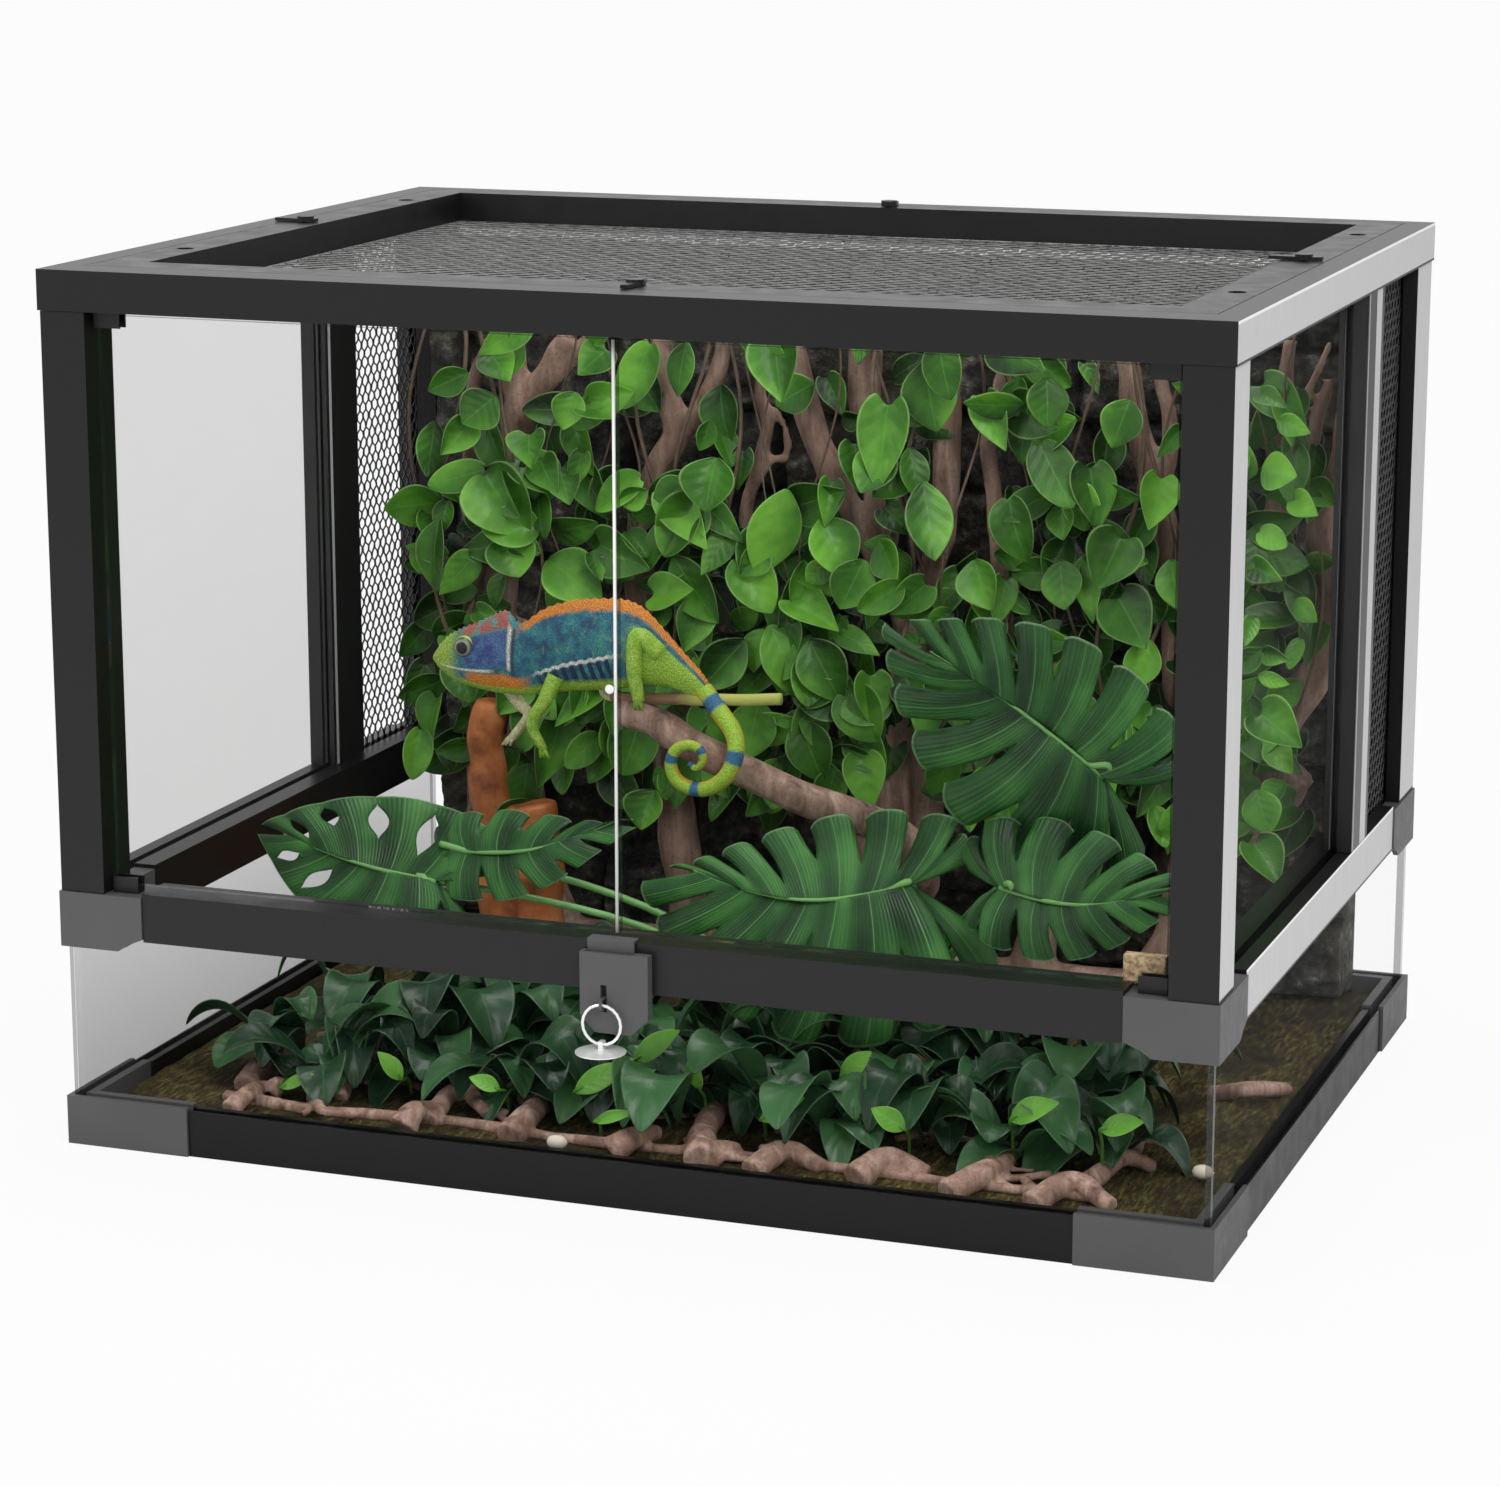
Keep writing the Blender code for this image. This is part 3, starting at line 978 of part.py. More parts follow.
def pull_ring(plane):
    """A ring hung on the staple, and the round plate that hangs from the ring by its lug."""
    centre_height = RING_TOP - RING_RADIUS
    points = []
    for step in range(RING_STEPS):
        angle = math.tau * step / RING_STEPS
        points.append((STAPLE_OFFSET + RING_RADIUS * math.sin(angle), plane,
                       centre_height + RING_RADIUS * math.cos(angle)))
    pivot = (STAPLE_OFFSET, plane, RING_TOP)
    keep("pull_ring", tube_mesh(points, [RING_WIRE] * RING_STEPS, 6, closed=True), "bright", pivot)
    low_point = centre_height - RING_RADIUS
    hole = RING_WIRE + GAP
    lug_half = hole + 0.0009
    plate_top = low_point - hole - 0.0009
    rim = PULL_THICKNESS / 5
    profile = [(0.0, plate_top), (PULL_RADIUS * 0.5, plate_top - rim / 2),
               (PULL_RADIUS, plate_top - (PULL_THICKNESS - rim) / 2),
               (PULL_RADIUS, plate_top - (PULL_THICKNESS + rim) / 2),
               (PULL_RADIUS * 0.5, plate_top - PULL_THICKNESS + rim / 2), (0.0, plate_top - PULL_THICKNESS)]
    plate_y = plane - PULL_SET_FORWARD
    plate = turned_mesh(profile, (STAPLE_OFFSET, plate_y, 0.0), (0, 0, 1), 24)
    lug = box_mesh((STAPLE_OFFSET - 0.0012, plane - lug_half, plate_top - PULL_THICKNESS / 2),
                   (STAPLE_OFFSET + 0.0012, plane + lug_half, low_point + lug_half))
    plate = combine("pull_plate", plate, [lug], "UNION")
    eye = cylinder_mesh(hole, (STAPLE_OFFSET - GLASS, plane, low_point),
                        (STAPLE_OFFSET + GLASS, plane, low_point), 12)
    keep("pull_plate", combine("pull_plate", plate, [eye], "DIFFERENCE"), "bright", pivot)


def displaced_block(columns, rows, place, depth_at, back):
    """A slab whose face is a displaced grid; its other side lies on a flat plane."""
    work = bmesh.new()
    bmesh.ops.create_grid(work, x_segments=columns, y_segments=rows, size=1.0)
    front = list(work.faces)
    result = bmesh.ops.extrude_face_region(work, geom=front)
    moved = {item for item in result["geom"] if isinstance(item, bmesh.types.BMVert)}
    for vertex in work.verts:
        u, v = vertex.co.x, vertex.co.y
        vertex.co = place(u, v, depth_at(u, v) if vertex in moved else back)
    mesh = bpy.data.meshes.new("block")
    work.to_mesh(mesh)
    work.free()
    finish_mesh(mesh, 30)
    return mesh


def rock_background():
    """A moulded rock wall: courses of stone with broken edges, standing before the rear pane."""
    half = WIDTH / 2 - MID_RAIL_WIDTH - ROCK_SIDE_GAP
    bottom, top = bed_top() + GAP, TOP_FRAME_BOTTOM - ROCK_TOP_GAP
    back = DEPTH / 2 - MID_RAIL_WIDTH - GAP

    def place(u, v, depth):
        return Vector((u * half, depth, bottom + (v + 1) / 2 * (top - bottom)))

    def depth_at(u, v):
        course = math.floor((v + 1) * ROCK_COURSES / 2)
        shift = noise.noise(Vector((course * 3.7, 1.3, 0.0)))
        stone = noise.noise(Vector(((u + shift) * 4.0, course * 2.1, 5.0)))
        fine = noise.noise(Vector((u * 9.0, v * 7.0, 2.0)))
        return back - ROCK_THICKNESS - ROCK_RELIEF * (0.7 * stone + 0.3 * fine)

    keep("rock_background", displaced_block(ROCK_COLUMNS, ROCK_ROWS, place, depth_at, back), "rock")


def bed_top():
    """The level that the moss bed has everywhere but at its rim."""
    return LEDGE_TOP + GLASS + 2 * GAP + BED_THICKNESS


def moss_bed():
    """A thin planted bed on the base glass, level on top and sloping off at its rim."""
    half_x = WIDTH / 2 - BASE_CORNER_WIDTH - GAP
    half_y = DEPTH / 2 - BASE_CORNER_WIDTH - GAP
    bottom = LEDGE_TOP + GLASS + 2 * GAP

    def place(u, v, height):
        return Vector((u * half_x, v * half_y, height))

    def height_at(u, v):
        at_rim = max(abs(u), abs(v)) > 0.99
        return bed_top() - (BED_RIM_DROP if at_rim else 0.0)

    keep("moss_bed", displaced_block(BED_COLUMNS, BED_ROWS, place, height_at, bottom), "moss")


def wood_branch(points, start_radius, end_radius, seed, sides=6):
    """A crooked tapering branch through hand-set points, smoothed by a Catmull-Rom curve."""
    places = smooth_path([Vector(point) for point in points], BRANCH_STEPS)
    radii = []
    for index in range(len(places)):
        share = index / (len(places) - 1)
        knot = noise.noise(Vector((index * 0.9, seed, 0.0)))
        radii.append((start_radius + (end_radius - start_radius) * share) * (1 + 0.10 * knot))
    return tube_mesh(places, radii, sides)


def smooth_path(points, steps):
    """Points along a Catmull-Rom curve that passes through the given ones."""
    ends = [points[0] * 2 - points[1]] + points + [points[-1] * 2 - points[-2]]
    path = []
    for index in range(1, len(ends) - 2):
        before, start, stop, after = ends[index - 1:index + 3]
        for step in range(steps):
            t = step / steps
            path.append(0.5 * (2 * start + (stop - before) * t
                               + (2 * before - 5 * start + 4 * stop - after) * t * t
                               + (3 * start - before - 3 * stop + after) * t ** 3))
    path.append(points[-1])
    return path


def level_foot(name, mesh):
    """Cut a piece off level, just above the bed that it stands on."""
    level = bed_top() + GAP
    below = box_mesh((-WIDTH / 2, -DEPTH / 2, level - BED_THICKNESS * 4), (WIDTH / 2, DEPTH / 2, level))
    return combine(name, mesh, [below], "DIFFERENCE", "MANIFOLD")


def fit_to_tank(mesh):
    """Stretch a piece of the planting from the size that it was laid out for to the tank's own size."""
    level = bed_top() + GAP
    rise = (HEIGHT - level) / (LAYOUT_HEIGHT - level)
    for vertex in mesh.vertices:
        x, y, z = vertex.co
        vertex.co = (x * WIDTH / LAYOUT_WIDTH, y * DEPTH / LAYOUT_DEPTH, level + (z - level) * rise)
    return mesh


def driftwood():
    """Forked trunks before the rock wall, and the limb that reaches forward from them as a perch."""
    limbs = []
    for start_radius, end_radius, *places in TRUNK_LIMBS:
        points = [(x * MILLIMETRE, TRUNK_PLANE, z * MILLIMETRE) for x, z in places]
        limbs.append(wood_branch(points, start_radius * MILLIMETRE, end_radius * MILLIMETRE, len(limbs),
                                 TRUNK_SIDES))
    start_radius, end_radius, *places = PERCH_LIMB
    points = [[value * MILLIMETRE for value in place] for place in places]
    limbs.append(wood_branch(points, start_radius * MILLIMETRE, end_radius * MILLIMETRE, len(limbs),
                             TRUNK_SIDES))
    wood = combine("driftwood", limbs[0], limbs[1:], "UNION", "MANIFOLD")
    seat = box_mesh((PERCH_SEAT_START, PERCH_PLANE - PERCH_SEAT_HALF, PERCH_TOP),
                    (PERCH_SEAT_END, PERCH_PLANE + PERCH_SEAT_HALF, PERCH_TOP + PERCH_SEAT_CUT))
    wood = fit_to_tank(combine("driftwood", wood, [seat], "DIFFERENCE", "MANIFOLD"))
    keep("driftwood", level_foot("driftwood", wood), "wood")


def floor_roots():
    """A creeping root along the front of the bed, with side roots that run back under the plants."""
    level = bed_top() + ROOT_RISE
    main = wood_branch([(x, y, level) for x, y in ROOT_LINE], 0.0055, 0.0045, 20)
    sides = []
    for index, (start, length, turn) in enumerate(SIDE_ROOTS):
        x, y = ROOT_LINE[start]
        angle = math.radians(90 + turn)
        points = [(x + length * share * math.cos(angle) + 0.006 * math.sin(share * 6 + index),
                   y + length * share * math.sin(angle), level - SIDE_ROOT_DROP)
                  for share in (0.0, 0.35, 0.7, 1.0)]
        sides.append(wood_branch(points, 0.0050, 0.0035, index + 30))
    roots = fit_to_tank(combine("floor_roots", main, sides, "UNION", "MANIFOLD"))
    keep("floor_roots", level_foot("floor_roots", roots), "root")


def leaf_blade(base, tip, normal, half_width, shape, fold, droop, thickness):
    """A thin leaf: a folded, drooping sheet with a midrib, given a thickness."""
    base, tip, normal = Vector(base), Vector(tip), Vector(normal)
    along = tip - base
    length = along.length
    along.normalize()
    across = along.cross(normal).normalized()
    lift = across.cross(along).normalized()
    work = bmesh.new()
    rows = []
    for share, width in shape:
        centre = base + along * (length * share) - lift * (droop * share * share)
        middle = work.verts.new(centre)
        if width == 0.0:
            rows.append((middle,))
            continue
        edge = across * (half_width * width)
        rise = lift * (fold * width)
        rows.append((work.verts.new(centre - edge + rise), middle, work.verts.new(centre + edge + rise)))
    for first, second in zip(rows, rows[1:]):
        if len(first) == 1:
            work.faces.new((first[0], second[1], second[0]))
            work.faces.new((first[0], second[2], second[1]))
        elif len(second) == 1:
            work.faces.new((first[0], first[1], second[0]))
            work.faces.new((first[1], first[2], second[0]))
        else:
            work.faces.new((first[0], first[1], second[1], second[0]))
            work.faces.new((first[1], first[2], second[2], second[1]))
    bmesh.ops.recalc_face_normals(work, faces=work.faces)
    mesh = bpy.data.meshes.new("leaf")
    work.to_mesh(mesh)
    work.free()
    item = add_object("leaf", mesh, bpy.context.scene.collection)
    solid = item.modifiers.new("thickness", "SOLIDIFY")
    solid.thickness = thickness
    solid.offset = 0.0
    return baked_copy(item)


HEART = ((-0.08, 0.45), (0.32, 1.0), (1.0, 0.0))
PADDLE = ((0.0, 0.10), (0.50, 1.0), (1.0, 0.0))


def nearest_point(paths, place):
    """The point on any of several runs of points that lies nearest to a place."""
    found = []
    for path in paths:
        for first, second in zip(path, path[1:]):
            share = (place - first).dot(second - first) / (second - first).length_squared
            found.append(first.lerp(second, min(max(share, 0.0), 1.0)))
    return min(found, key=lambda point: (point - place).length)


def climbing_vine():
    """Stems that climb before the trunks, two of them rooted in the bed, joined by a runner, with leaves."""
    paths, pieces = [], []
    for index, x in enumerate(VINE_STEMS):
        foot = [Vector((x, VINE_PLANE, bed_top() + GAP))] if index in VINE_ROOTED else []
        path = foot + [Vector((x + 0.010 * math.sin(step * 1.3 + index * 2), VINE_PLANE,
                               VINE_BOTTOM + (VINE_TOP - VINE_BOTTOM) * step / 5)) for step in range(6)]
        paths.append(path)
        pieces.append(tube_mesh(path, [VINE_STEM_RADIUS] * len(path), 4))
    for base_x, base_z, tip_x, tip_z, width, depth in VINE_LEAVES:
        base = Vector((base_x, depth, base_z)) * MILLIMETRE
        tip = Vector((tip_x, depth, tip_z)) * MILLIMETRE - Vector((0.0, VINE_LEAF_REACH, 0.0))
        pieces.append(leaf_blade(base, tip, (0.0, -1.0, 0.25), width * MILLIMETRE / 2, HEART,
                                 VINE_LEAF_FOLD, VINE_LEAF_DROOP, LEAF_THICKNESS))
        inset = base.lerp(tip, 0.15)
        stalk = [nearest_point(paths, inset), inset]
        pieces.append(tube_mesh(stalk, [VINE_STALK_RADIUS] * len(stalk), 3))
    runner = [Vector((VINE_STEMS[0] - 0.012, VINE_PLANE + 0.0006, VINE_TOP - 0.020)),
              Vector((0.0, VINE_PLANE + 0.0009, VINE_TOP - 0.024)),
              Vector((VINE_STEMS[-1] + 0.012, VINE_PLANE + 0.0004, VINE_TOP - 0.018))]
    runner_mesh = tube_mesh(runner, [VINE_STEM_RADIUS] * len(runner), 6)
    mesh = combine("climbing_vine", runner_mesh, pieces, "UNION", "MANIFOLD")
    keep("climbing_vine", fit_to_tank(mesh), "leaf")


def split_outline(length, half_width, lobes, cut):
    """Half a split leaf's edge, from stalk to tip: broad lobes with narrow cuts between them."""
    edge = [(-0.06 * length, 0.16 * half_width)]
    for lobe in range(lobes):
        for step, reach in ((0.0, 1.0 - cut), (0.25, 1.0), (0.80, 1.0)):
            share = (lobe + step) / lobes
            width = half_width * math.sin(math.pi * (0.14 + 0.84 * share)) ** 0.75
            edge.append((length * (share * 0.97) + 0.05 * length * reach, width * reach))
    edge.append((length * 1.04, 0.0))
    return edge


def split_leaf(base, tip, normal, half_width, lobes=5, cut=0.62):
    """A split leaf blade placed from its stalk end to its tip, facing along the normal."""
    base, tip, normal = Vector(base), Vector(tip), Vector(normal)
    along = (tip - base).normalized()
    across = along.cross(normal).normalized()
    upper = split_outline((tip - base).length, half_width, lobes, cut)
    lower = [(u, -v) for u, v in reversed(upper[:-1])]
    matrix = Matrix((along, across, along.cross(across))).transposed().to_4x4()
    matrix.translation = base
    return outline_mesh([upper + lower], SPLIT_LEAF_THICKNESS, matrix)


def split_leaf_plant():
    """Five big split leaves on stalks that rise from one crown behind the floor plants."""
    floor = bed_top() + GAP
    crown = Vector((*PLANT_CROWN, floor))
    blades = [
        ((-0.152, -0.100, 0.121), (-0.250, -0.112, 0.128), (0.1, -1.0, 0.5), 0.033),
        ((-0.135, -0.085, 0.150), (-0.052, -0.095, 0.166), (0.1, -1.0, 0.7), 0.017),
        ((0.110, -0.096, 0.142), (-0.045, -0.112, 0.104), (0.0, -1.0, 0.45), 0.040),
        ((0.205, -0.080, 0.205), (0.088, -0.098, 0.236), (0.1, -1.0, 0.25), 0.066),
        ((0.134, -0.120, 0.118), (0.240, -0.132, 0.150), (0.0, -1.0, 0.5), 0.023),
    ]
    top = crown + Vector((0.0, 0.0, 0.012))
    body = tube_mesh([crown, top], [0.009, 0.007], 10)
    pieces = []
    for base, tip, normal, half_width in blades:
        base, tip = Vector(base), Vector(tip)
        pieces.append(split_leaf(base, tip, normal, half_width))
        bend = (top + base) / 2 + Vector((0.0, 0.022, 0.012))
        inset = base + (tip - base) * 0.10
        path = smooth_path([top - Vector((0.0, 0.0, 0.006)), bend, inset], 5)
        pieces.append(tube_mesh(path, [PLANT_STALK_RADIUS] * len(path), 6))
    keep("split_leaf_plant", fit_to_tank(combine("split_leaf_plant", body, pieces, "UNION")), "split_leaf")


def floor_plants():
    """Tufts of paddle leaves along a runner that stands on short feet in the bed."""
    floor = bed_top() + GAP
    path = [Vector((x, TUFT_LINE, RUNNER_HEIGHT)) for x in TUFT_CENTRES]
    runner = tube_mesh(path, [RUNNER_RADIUS] * len(path), 6)
    pieces = []
    for index, x in enumerate(TUFT_CENTRES):
        pieces.append(cylinder_mesh(RUNNER_RADIUS, (x, TUFT_LINE, floor), (x, TUFT_LINE, RUNNER_HEIGHT), 8))
        for leaf in range(TUFT_LEAVES):
            angle = math.radians(-165 + 150 * leaf / (TUFT_LEAVES - 1) + 9 * math.sin(index * 2.1))
            wander = noise.noise(Vector((index * 1.9, leaf * 2.7, 3.0)))
            out = Vector((math.cos(angle), math.sin(angle), 0.0))
            start = Vector((x, TUFT_LINE, RUNNER_HEIGHT + 0.0006 * leaf)) - out * 0.0007
            rise = 0.042 + 0.022 * wander + (0.012 if leaf in (0, TUFT_LEAVES - 1) else 0.0)
            tip = start + out * FLOOR_LEAF_LENGTH + Vector((0, 0, rise))
            normal = Vector((0, 0, 1.0)) - out * 0.5
            pieces.append(leaf_blade(start, tip, normal, FLOOR_LEAF_HALF, PADDLE, FLOOR_LEAF_FOLD,
                                     FLOOR_LEAF_DROOP, LEAF_THICKNESS))
    mesh = combine("floor_plants", runner, pieces, "UNION", "MANIFOLD")
    keep("floor_plants", fit_to_tank(mesh), "floor_leaf")


def cork_block():
    """A small cork block that rests on the middle rail behind the right door."""
    high_x = WIDTH / 2 - CORK_SIDE_INSET
    low_y = -DEPTH / 2 + CORK_FRONT_INSET
    bottom = MID_RAIL_TOP + GAP
    mesh = box_mesh((high_x - CORK_SIZE[0], low_y, bottom),
                    (high_x, low_y + CORK_SIZE[1], bottom + CORK_SIZE[2]))
    keep("cork_block", mesh, "cork")


def lizard_figure():
    """A lizard ornament moulded in one with the twig it holds, resting on the perch."""
    y = PERCH_PLANE
    twig_radius = 0.0024
    twig_height = PERCH_TOP + GAP + twig_radius
    twig = tube_mesh([(-0.150, y, twig_height + 0.001), (-0.100, y, twig_height), (-0.050, y, twig_height),
                      (0.006, y, twig_height + 0.001)], [0.0016, twig_radius, twig_radius, 0.0022], 8)
    lift = twig_height - LIZARD_TWIG
    body = [Vector((x, y, z + lift)) for x, z in LIZARD_BODY] + [Vector((-0.036, y - 0.016, 0.1880 + lift))]
    body_mesh = tube_mesh(smooth_path(body, 3), LIZARD_BODY_RADII, 10)
    head = [Vector((x, y, z + lift)) for x, z in LIZARD_HEAD]
    pieces = [twig, tube_mesh(smooth_path(head, 2), LIZARD_HEAD_RADII, 10),
              cylinder_mesh(0.0060, (-0.166, y, 0.236 + lift), (-0.150, y, 0.2530 + lift), 8, 0.0020)]
    tail = [Vector((-0.036, y - 0.016, 0.1890 + lift))]
    for step in range(19):
        turn = step / 18
        angle = math.radians(60 - 470 * turn)
        radius = 0.0200 * (1 - turn) + 0.0035
        tail.append(Vector((-0.0500 + radius * math.cos(angle), y - 0.018,
                            0.1700 + radius * math.sin(angle) + lift)))
    pieces.append(tube_mesh(tail, [0.0045 - 0.0030 * index / 19 for index in range(20)], 6))
    for hip, knee, foot, side in LIZARD_LEGS:
        spread = side * LIZARD_LEG_SPREAD
        path = [Vector((place[0], y + spread * share, place[1] + lift))
                for place, share in ((hip, 0.8), (knee, 1.6), (foot, 0.2))]
        pieces.append(tube_mesh(path, [0.0040, 0.0032, 0.0021], 6))
    mesh = combine("lizard_figure", body_mesh, pieces, "UNION", "MANIFOLD")
    keep("lizard_figure", fit_to_tank(mesh), "lizard")


clear_scene()
MODEL = make_collection("glass_reptile_terrarium")
CUTTERS = make_collection("cutters")
MATERIALS = {name: make_material(name, *look) for name, look in COLORS.items()}
STAND = make_stand()
base_frame()
base_and_lower_glass()
mid_frame()
posts()
side_windows()
top_frame()
lid()
lid_clips()
doors()
lock()
rock_background()
moss_bed()
driftwood()
floor_roots()
climbing_vine()
split_leaf_plant()
floor_plants()
cork_block()
lizard_figure()
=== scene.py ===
"""Dresses the glass terrarium: frame, glass, nets, planting, wood, rock wall, bed, lizard and stage."""
import math
import random

import bpy
from mathutils import Euler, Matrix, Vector, noise


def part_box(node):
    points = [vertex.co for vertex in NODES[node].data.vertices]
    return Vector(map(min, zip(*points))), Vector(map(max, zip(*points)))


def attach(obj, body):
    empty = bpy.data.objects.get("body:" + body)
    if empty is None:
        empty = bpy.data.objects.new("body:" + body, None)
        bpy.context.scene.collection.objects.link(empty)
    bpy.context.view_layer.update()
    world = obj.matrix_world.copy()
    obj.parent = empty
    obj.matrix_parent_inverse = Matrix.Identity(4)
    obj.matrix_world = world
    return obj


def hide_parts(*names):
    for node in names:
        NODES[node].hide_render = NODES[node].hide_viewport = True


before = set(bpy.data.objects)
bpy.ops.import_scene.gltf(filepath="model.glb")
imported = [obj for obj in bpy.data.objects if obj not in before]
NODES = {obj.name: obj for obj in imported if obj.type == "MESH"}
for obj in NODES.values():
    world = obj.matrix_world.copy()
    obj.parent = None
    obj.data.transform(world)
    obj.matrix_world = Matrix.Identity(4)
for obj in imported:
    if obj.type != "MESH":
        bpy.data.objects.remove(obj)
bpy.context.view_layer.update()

# Camera, solved from the photograph's perspective
CAMERA_PLACE = (0.7245, -2.0150, 0.6788)
CAMERA_TURN = [math.radians(angle) for angle in (77.065, 0.0, 19.954)]
CAMERA_LENS = 100.38
CAMERA_SENSOR = 36.0
PHOTO_WIDTH = 1500
PHOTO_HEIGHT = 1486
FOCAL = CAMERA_LENS / CAMERA_SENSOR * PHOTO_WIDTH


def add_camera():
    data = bpy.data.cameras.new("camera")
    data.lens = CAMERA_LENS
    data.sensor_width = CAMERA_SENSOR
    item = bpy.data.objects.new("camera", data)
    item.location = CAMERA_PLACE
    item.rotation_euler = CAMERA_TURN
    bpy.context.scene.collection.objects.link(item)
    bpy.context.scene.camera = item


def spot(px, py, y):
    """The point on the plane y that the photograph shows at pixel (px, py)."""
    ray = Vector(((px - PHOTO_WIDTH / 2) / FOCAL, (PHOTO_HEIGHT / 2 - py) / FOCAL, -1.0))
    ray = Euler(CAMERA_TURN).to_matrix() @ ray
    return Vector(CAMERA_PLACE) + ray * ((y - CAMERA_PLACE[1]) / ray.y)


# Materials
def rgba(color):
    """A colour as four numbers; one number alone is a grey, and a socket stays as it is."""
    if isinstance(color, bpy.types.NodeSocket):
        return color
    return (*color, 1.0) if isinstance(color, tuple) else (color, color, color, 1.0)


class Tree:
    """A node tree that is filled by short calls."""

    def __init__(self, tree):
        self.nodes, self.links = tree.nodes, tree.links

    def set(self, node, socket, value):
        if isinstance(value, bpy.types.NodeSocket):
            self.links.new(value, node.inputs[socket])
        else:
            node.inputs[socket].default_value = value

    def feed(self, kind, inputs, output=0, **settings):
        """Add a node, fill its inputs by name or number, and give one of its outputs."""
        node = self.nodes.new(kind)
        for key, value in settings.items():
            setattr(node, key, value)
        for socket, value in inputs.items():
            self.set(node, socket, value)
        return node.outputs[output]

    def math(self, operation, first, second=0.5):
        return self.feed("ShaderNodeMath", {0: first, 1: second}, operation=operation)

    def plus(self, first, second):
        return self.math("ADD", first, second)

    def minus(self, first, second):
        return self.math("SUBTRACT", first, second)

    def times(self, first, second):
        return self.math("MULTIPLY", first, second)

    def above(self, value, limit):
        return self.math("GREATER_THAN", value, limit)

    def below(self, value, limit):
        return self.math("LESS_THAN", value, limit)

    def size(self, value):
        return self.math("ABSOLUTE", value)

    def blend(self, factor, first, second):
        return self.feed("ShaderNodeMixShader", {0: factor, 1: first, 2: second})


class Look(Tree):
    """A Principled material."""

    def __init__(self, name, color, roughness, metallic=0.0, specular=0.5):
        self.material = bpy.data.materials.new(name)
        self.material.use_nodes = True
        super().__init__(self.material.node_tree)
        self.shader = self.nodes["Principled BSDF"]
        self.color(color)
        self.roughness(roughness)
        self.set(self.shader, "Metallic", metallic)
        self.set(self.shader, "Specular IOR Level", specular)
        source = self.nodes.new("ShaderNodeTexCoord").outputs
        self.place, self.normal = source["Object"], source["Normal"]

    def color(self, value):
        self.set(self.shader, "Base Color", rgba(value))

    def roughness(self, value):
        self.set(self.shader, "Roughness", value)

    def bump(self, height, distance, strength):
        inputs = {"Height": height, "Distance": distance, "Strength": strength}
        self.set(self.shader, "Normal", self.feed("ShaderNodeBump", inputs))

    def axes(self, vector):
        """The x, y and z of a vector, as sockets."""
        node = self.nodes.new("ShaderNodeSeparateXYZ")
        self.set(node, 0, vector)
        return node.outputs

    def marks(self):
        """The three numbers of a point's mark, as sockets."""
        return self.axes(self.feed("ShaderNodeAttribute", {}, "Vector", attribute_name="mark"))

    def stretch(self, scale, turn=0.0):
        """The place, scaled along each axis and turned about Z."""
        inputs = {"Vector": self.place, "Scale": scale, "Rotation": (0.0, 0.0, turn)}
        return self.feed("ShaderNodeMapping", inputs)

    def noise(self, scale, detail, rough=0.5, place=None, distortion=0.0):
        inputs = {"Vector": place or self.place, "Scale": scale, "Detail": detail, "Roughness": rough,
                  "Distortion": distortion}
        return self.feed("ShaderNodeTexNoise", inputs, "Fac")

    def cells(self, scale):
        return self.feed("ShaderNodeTexVoronoi", {"Vector": self.place, "Scale": scale}, "Distance")

    def ramp(self, value, *stops):
        node = self.nodes.new("ShaderNodeValToRGB")
        elements = node.color_ramp.elements
        while len(elements) < len(stops):
            elements.new(0.5)
        for element, (position, color) in zip(elements, stops):
            element.position = position
            element.color = rgba(color)
        self.set(node, "Fac", value)
        return node.outputs["Color"]

    def mix(self, factor, first, second):
        return self.feed("ShaderNodeMix", {0: factor, 6: rgba(first), 7: rgba(second)}, 2, data_type="RGBA")

    def range(self, value, low, high, to_low=0.0, to_high=1.0):
        return self.feed("ShaderNodeMapRange", dict(enumerate((value, low, high, to_low, to_high))))

    def over(self, base, *zones):
        """A base colour with other colours laid over it one by one, each by its own factor."""
        for factor, color in zones:
            base = self.mix(factor, base, color)
        return base

    def clouded(self, scale, detail, dark, light):
        self.color(self.mix(self.noise(scale, detail), dark, light))

    def grain(self, scale, distance, strength):
        self.bump(self.noise(scale, 2.0), distance, strength)


def coated_look(name, dark, light, specular):
    """Black powder-coated extrusion with a fine orange peel."""
    look = Look(name, light, 0.36, 0.0, specular)
    look.clouded(14.0, 3.0, dark, light)
    look.roughness(look.range(look.noise(60.0, 2.0), 0.3, 0.7, 0.32, 0.42))
    look.grain(900.0, 0.00005, 0.25)
    return look.material


# Faces past this x, and that look this far sideways, are the frame's side ends, which get a painted sheen:
# pale grey painted where light falls on them
SHEEN_REACH = 0.297
SIDEWAYS = 0.9
# A top limit above every frame part, so there is no painted highlight along the top
NO_TOP_HIGHLIGHT = 1.0
# Height of the painted highlight along the top edge of the side faces, and of the painted shade along their
# foot where parts meet
TOP_HIGHLIGHT_BAND = 0.0014
FOOT_SHADE_BAND = 0.0012


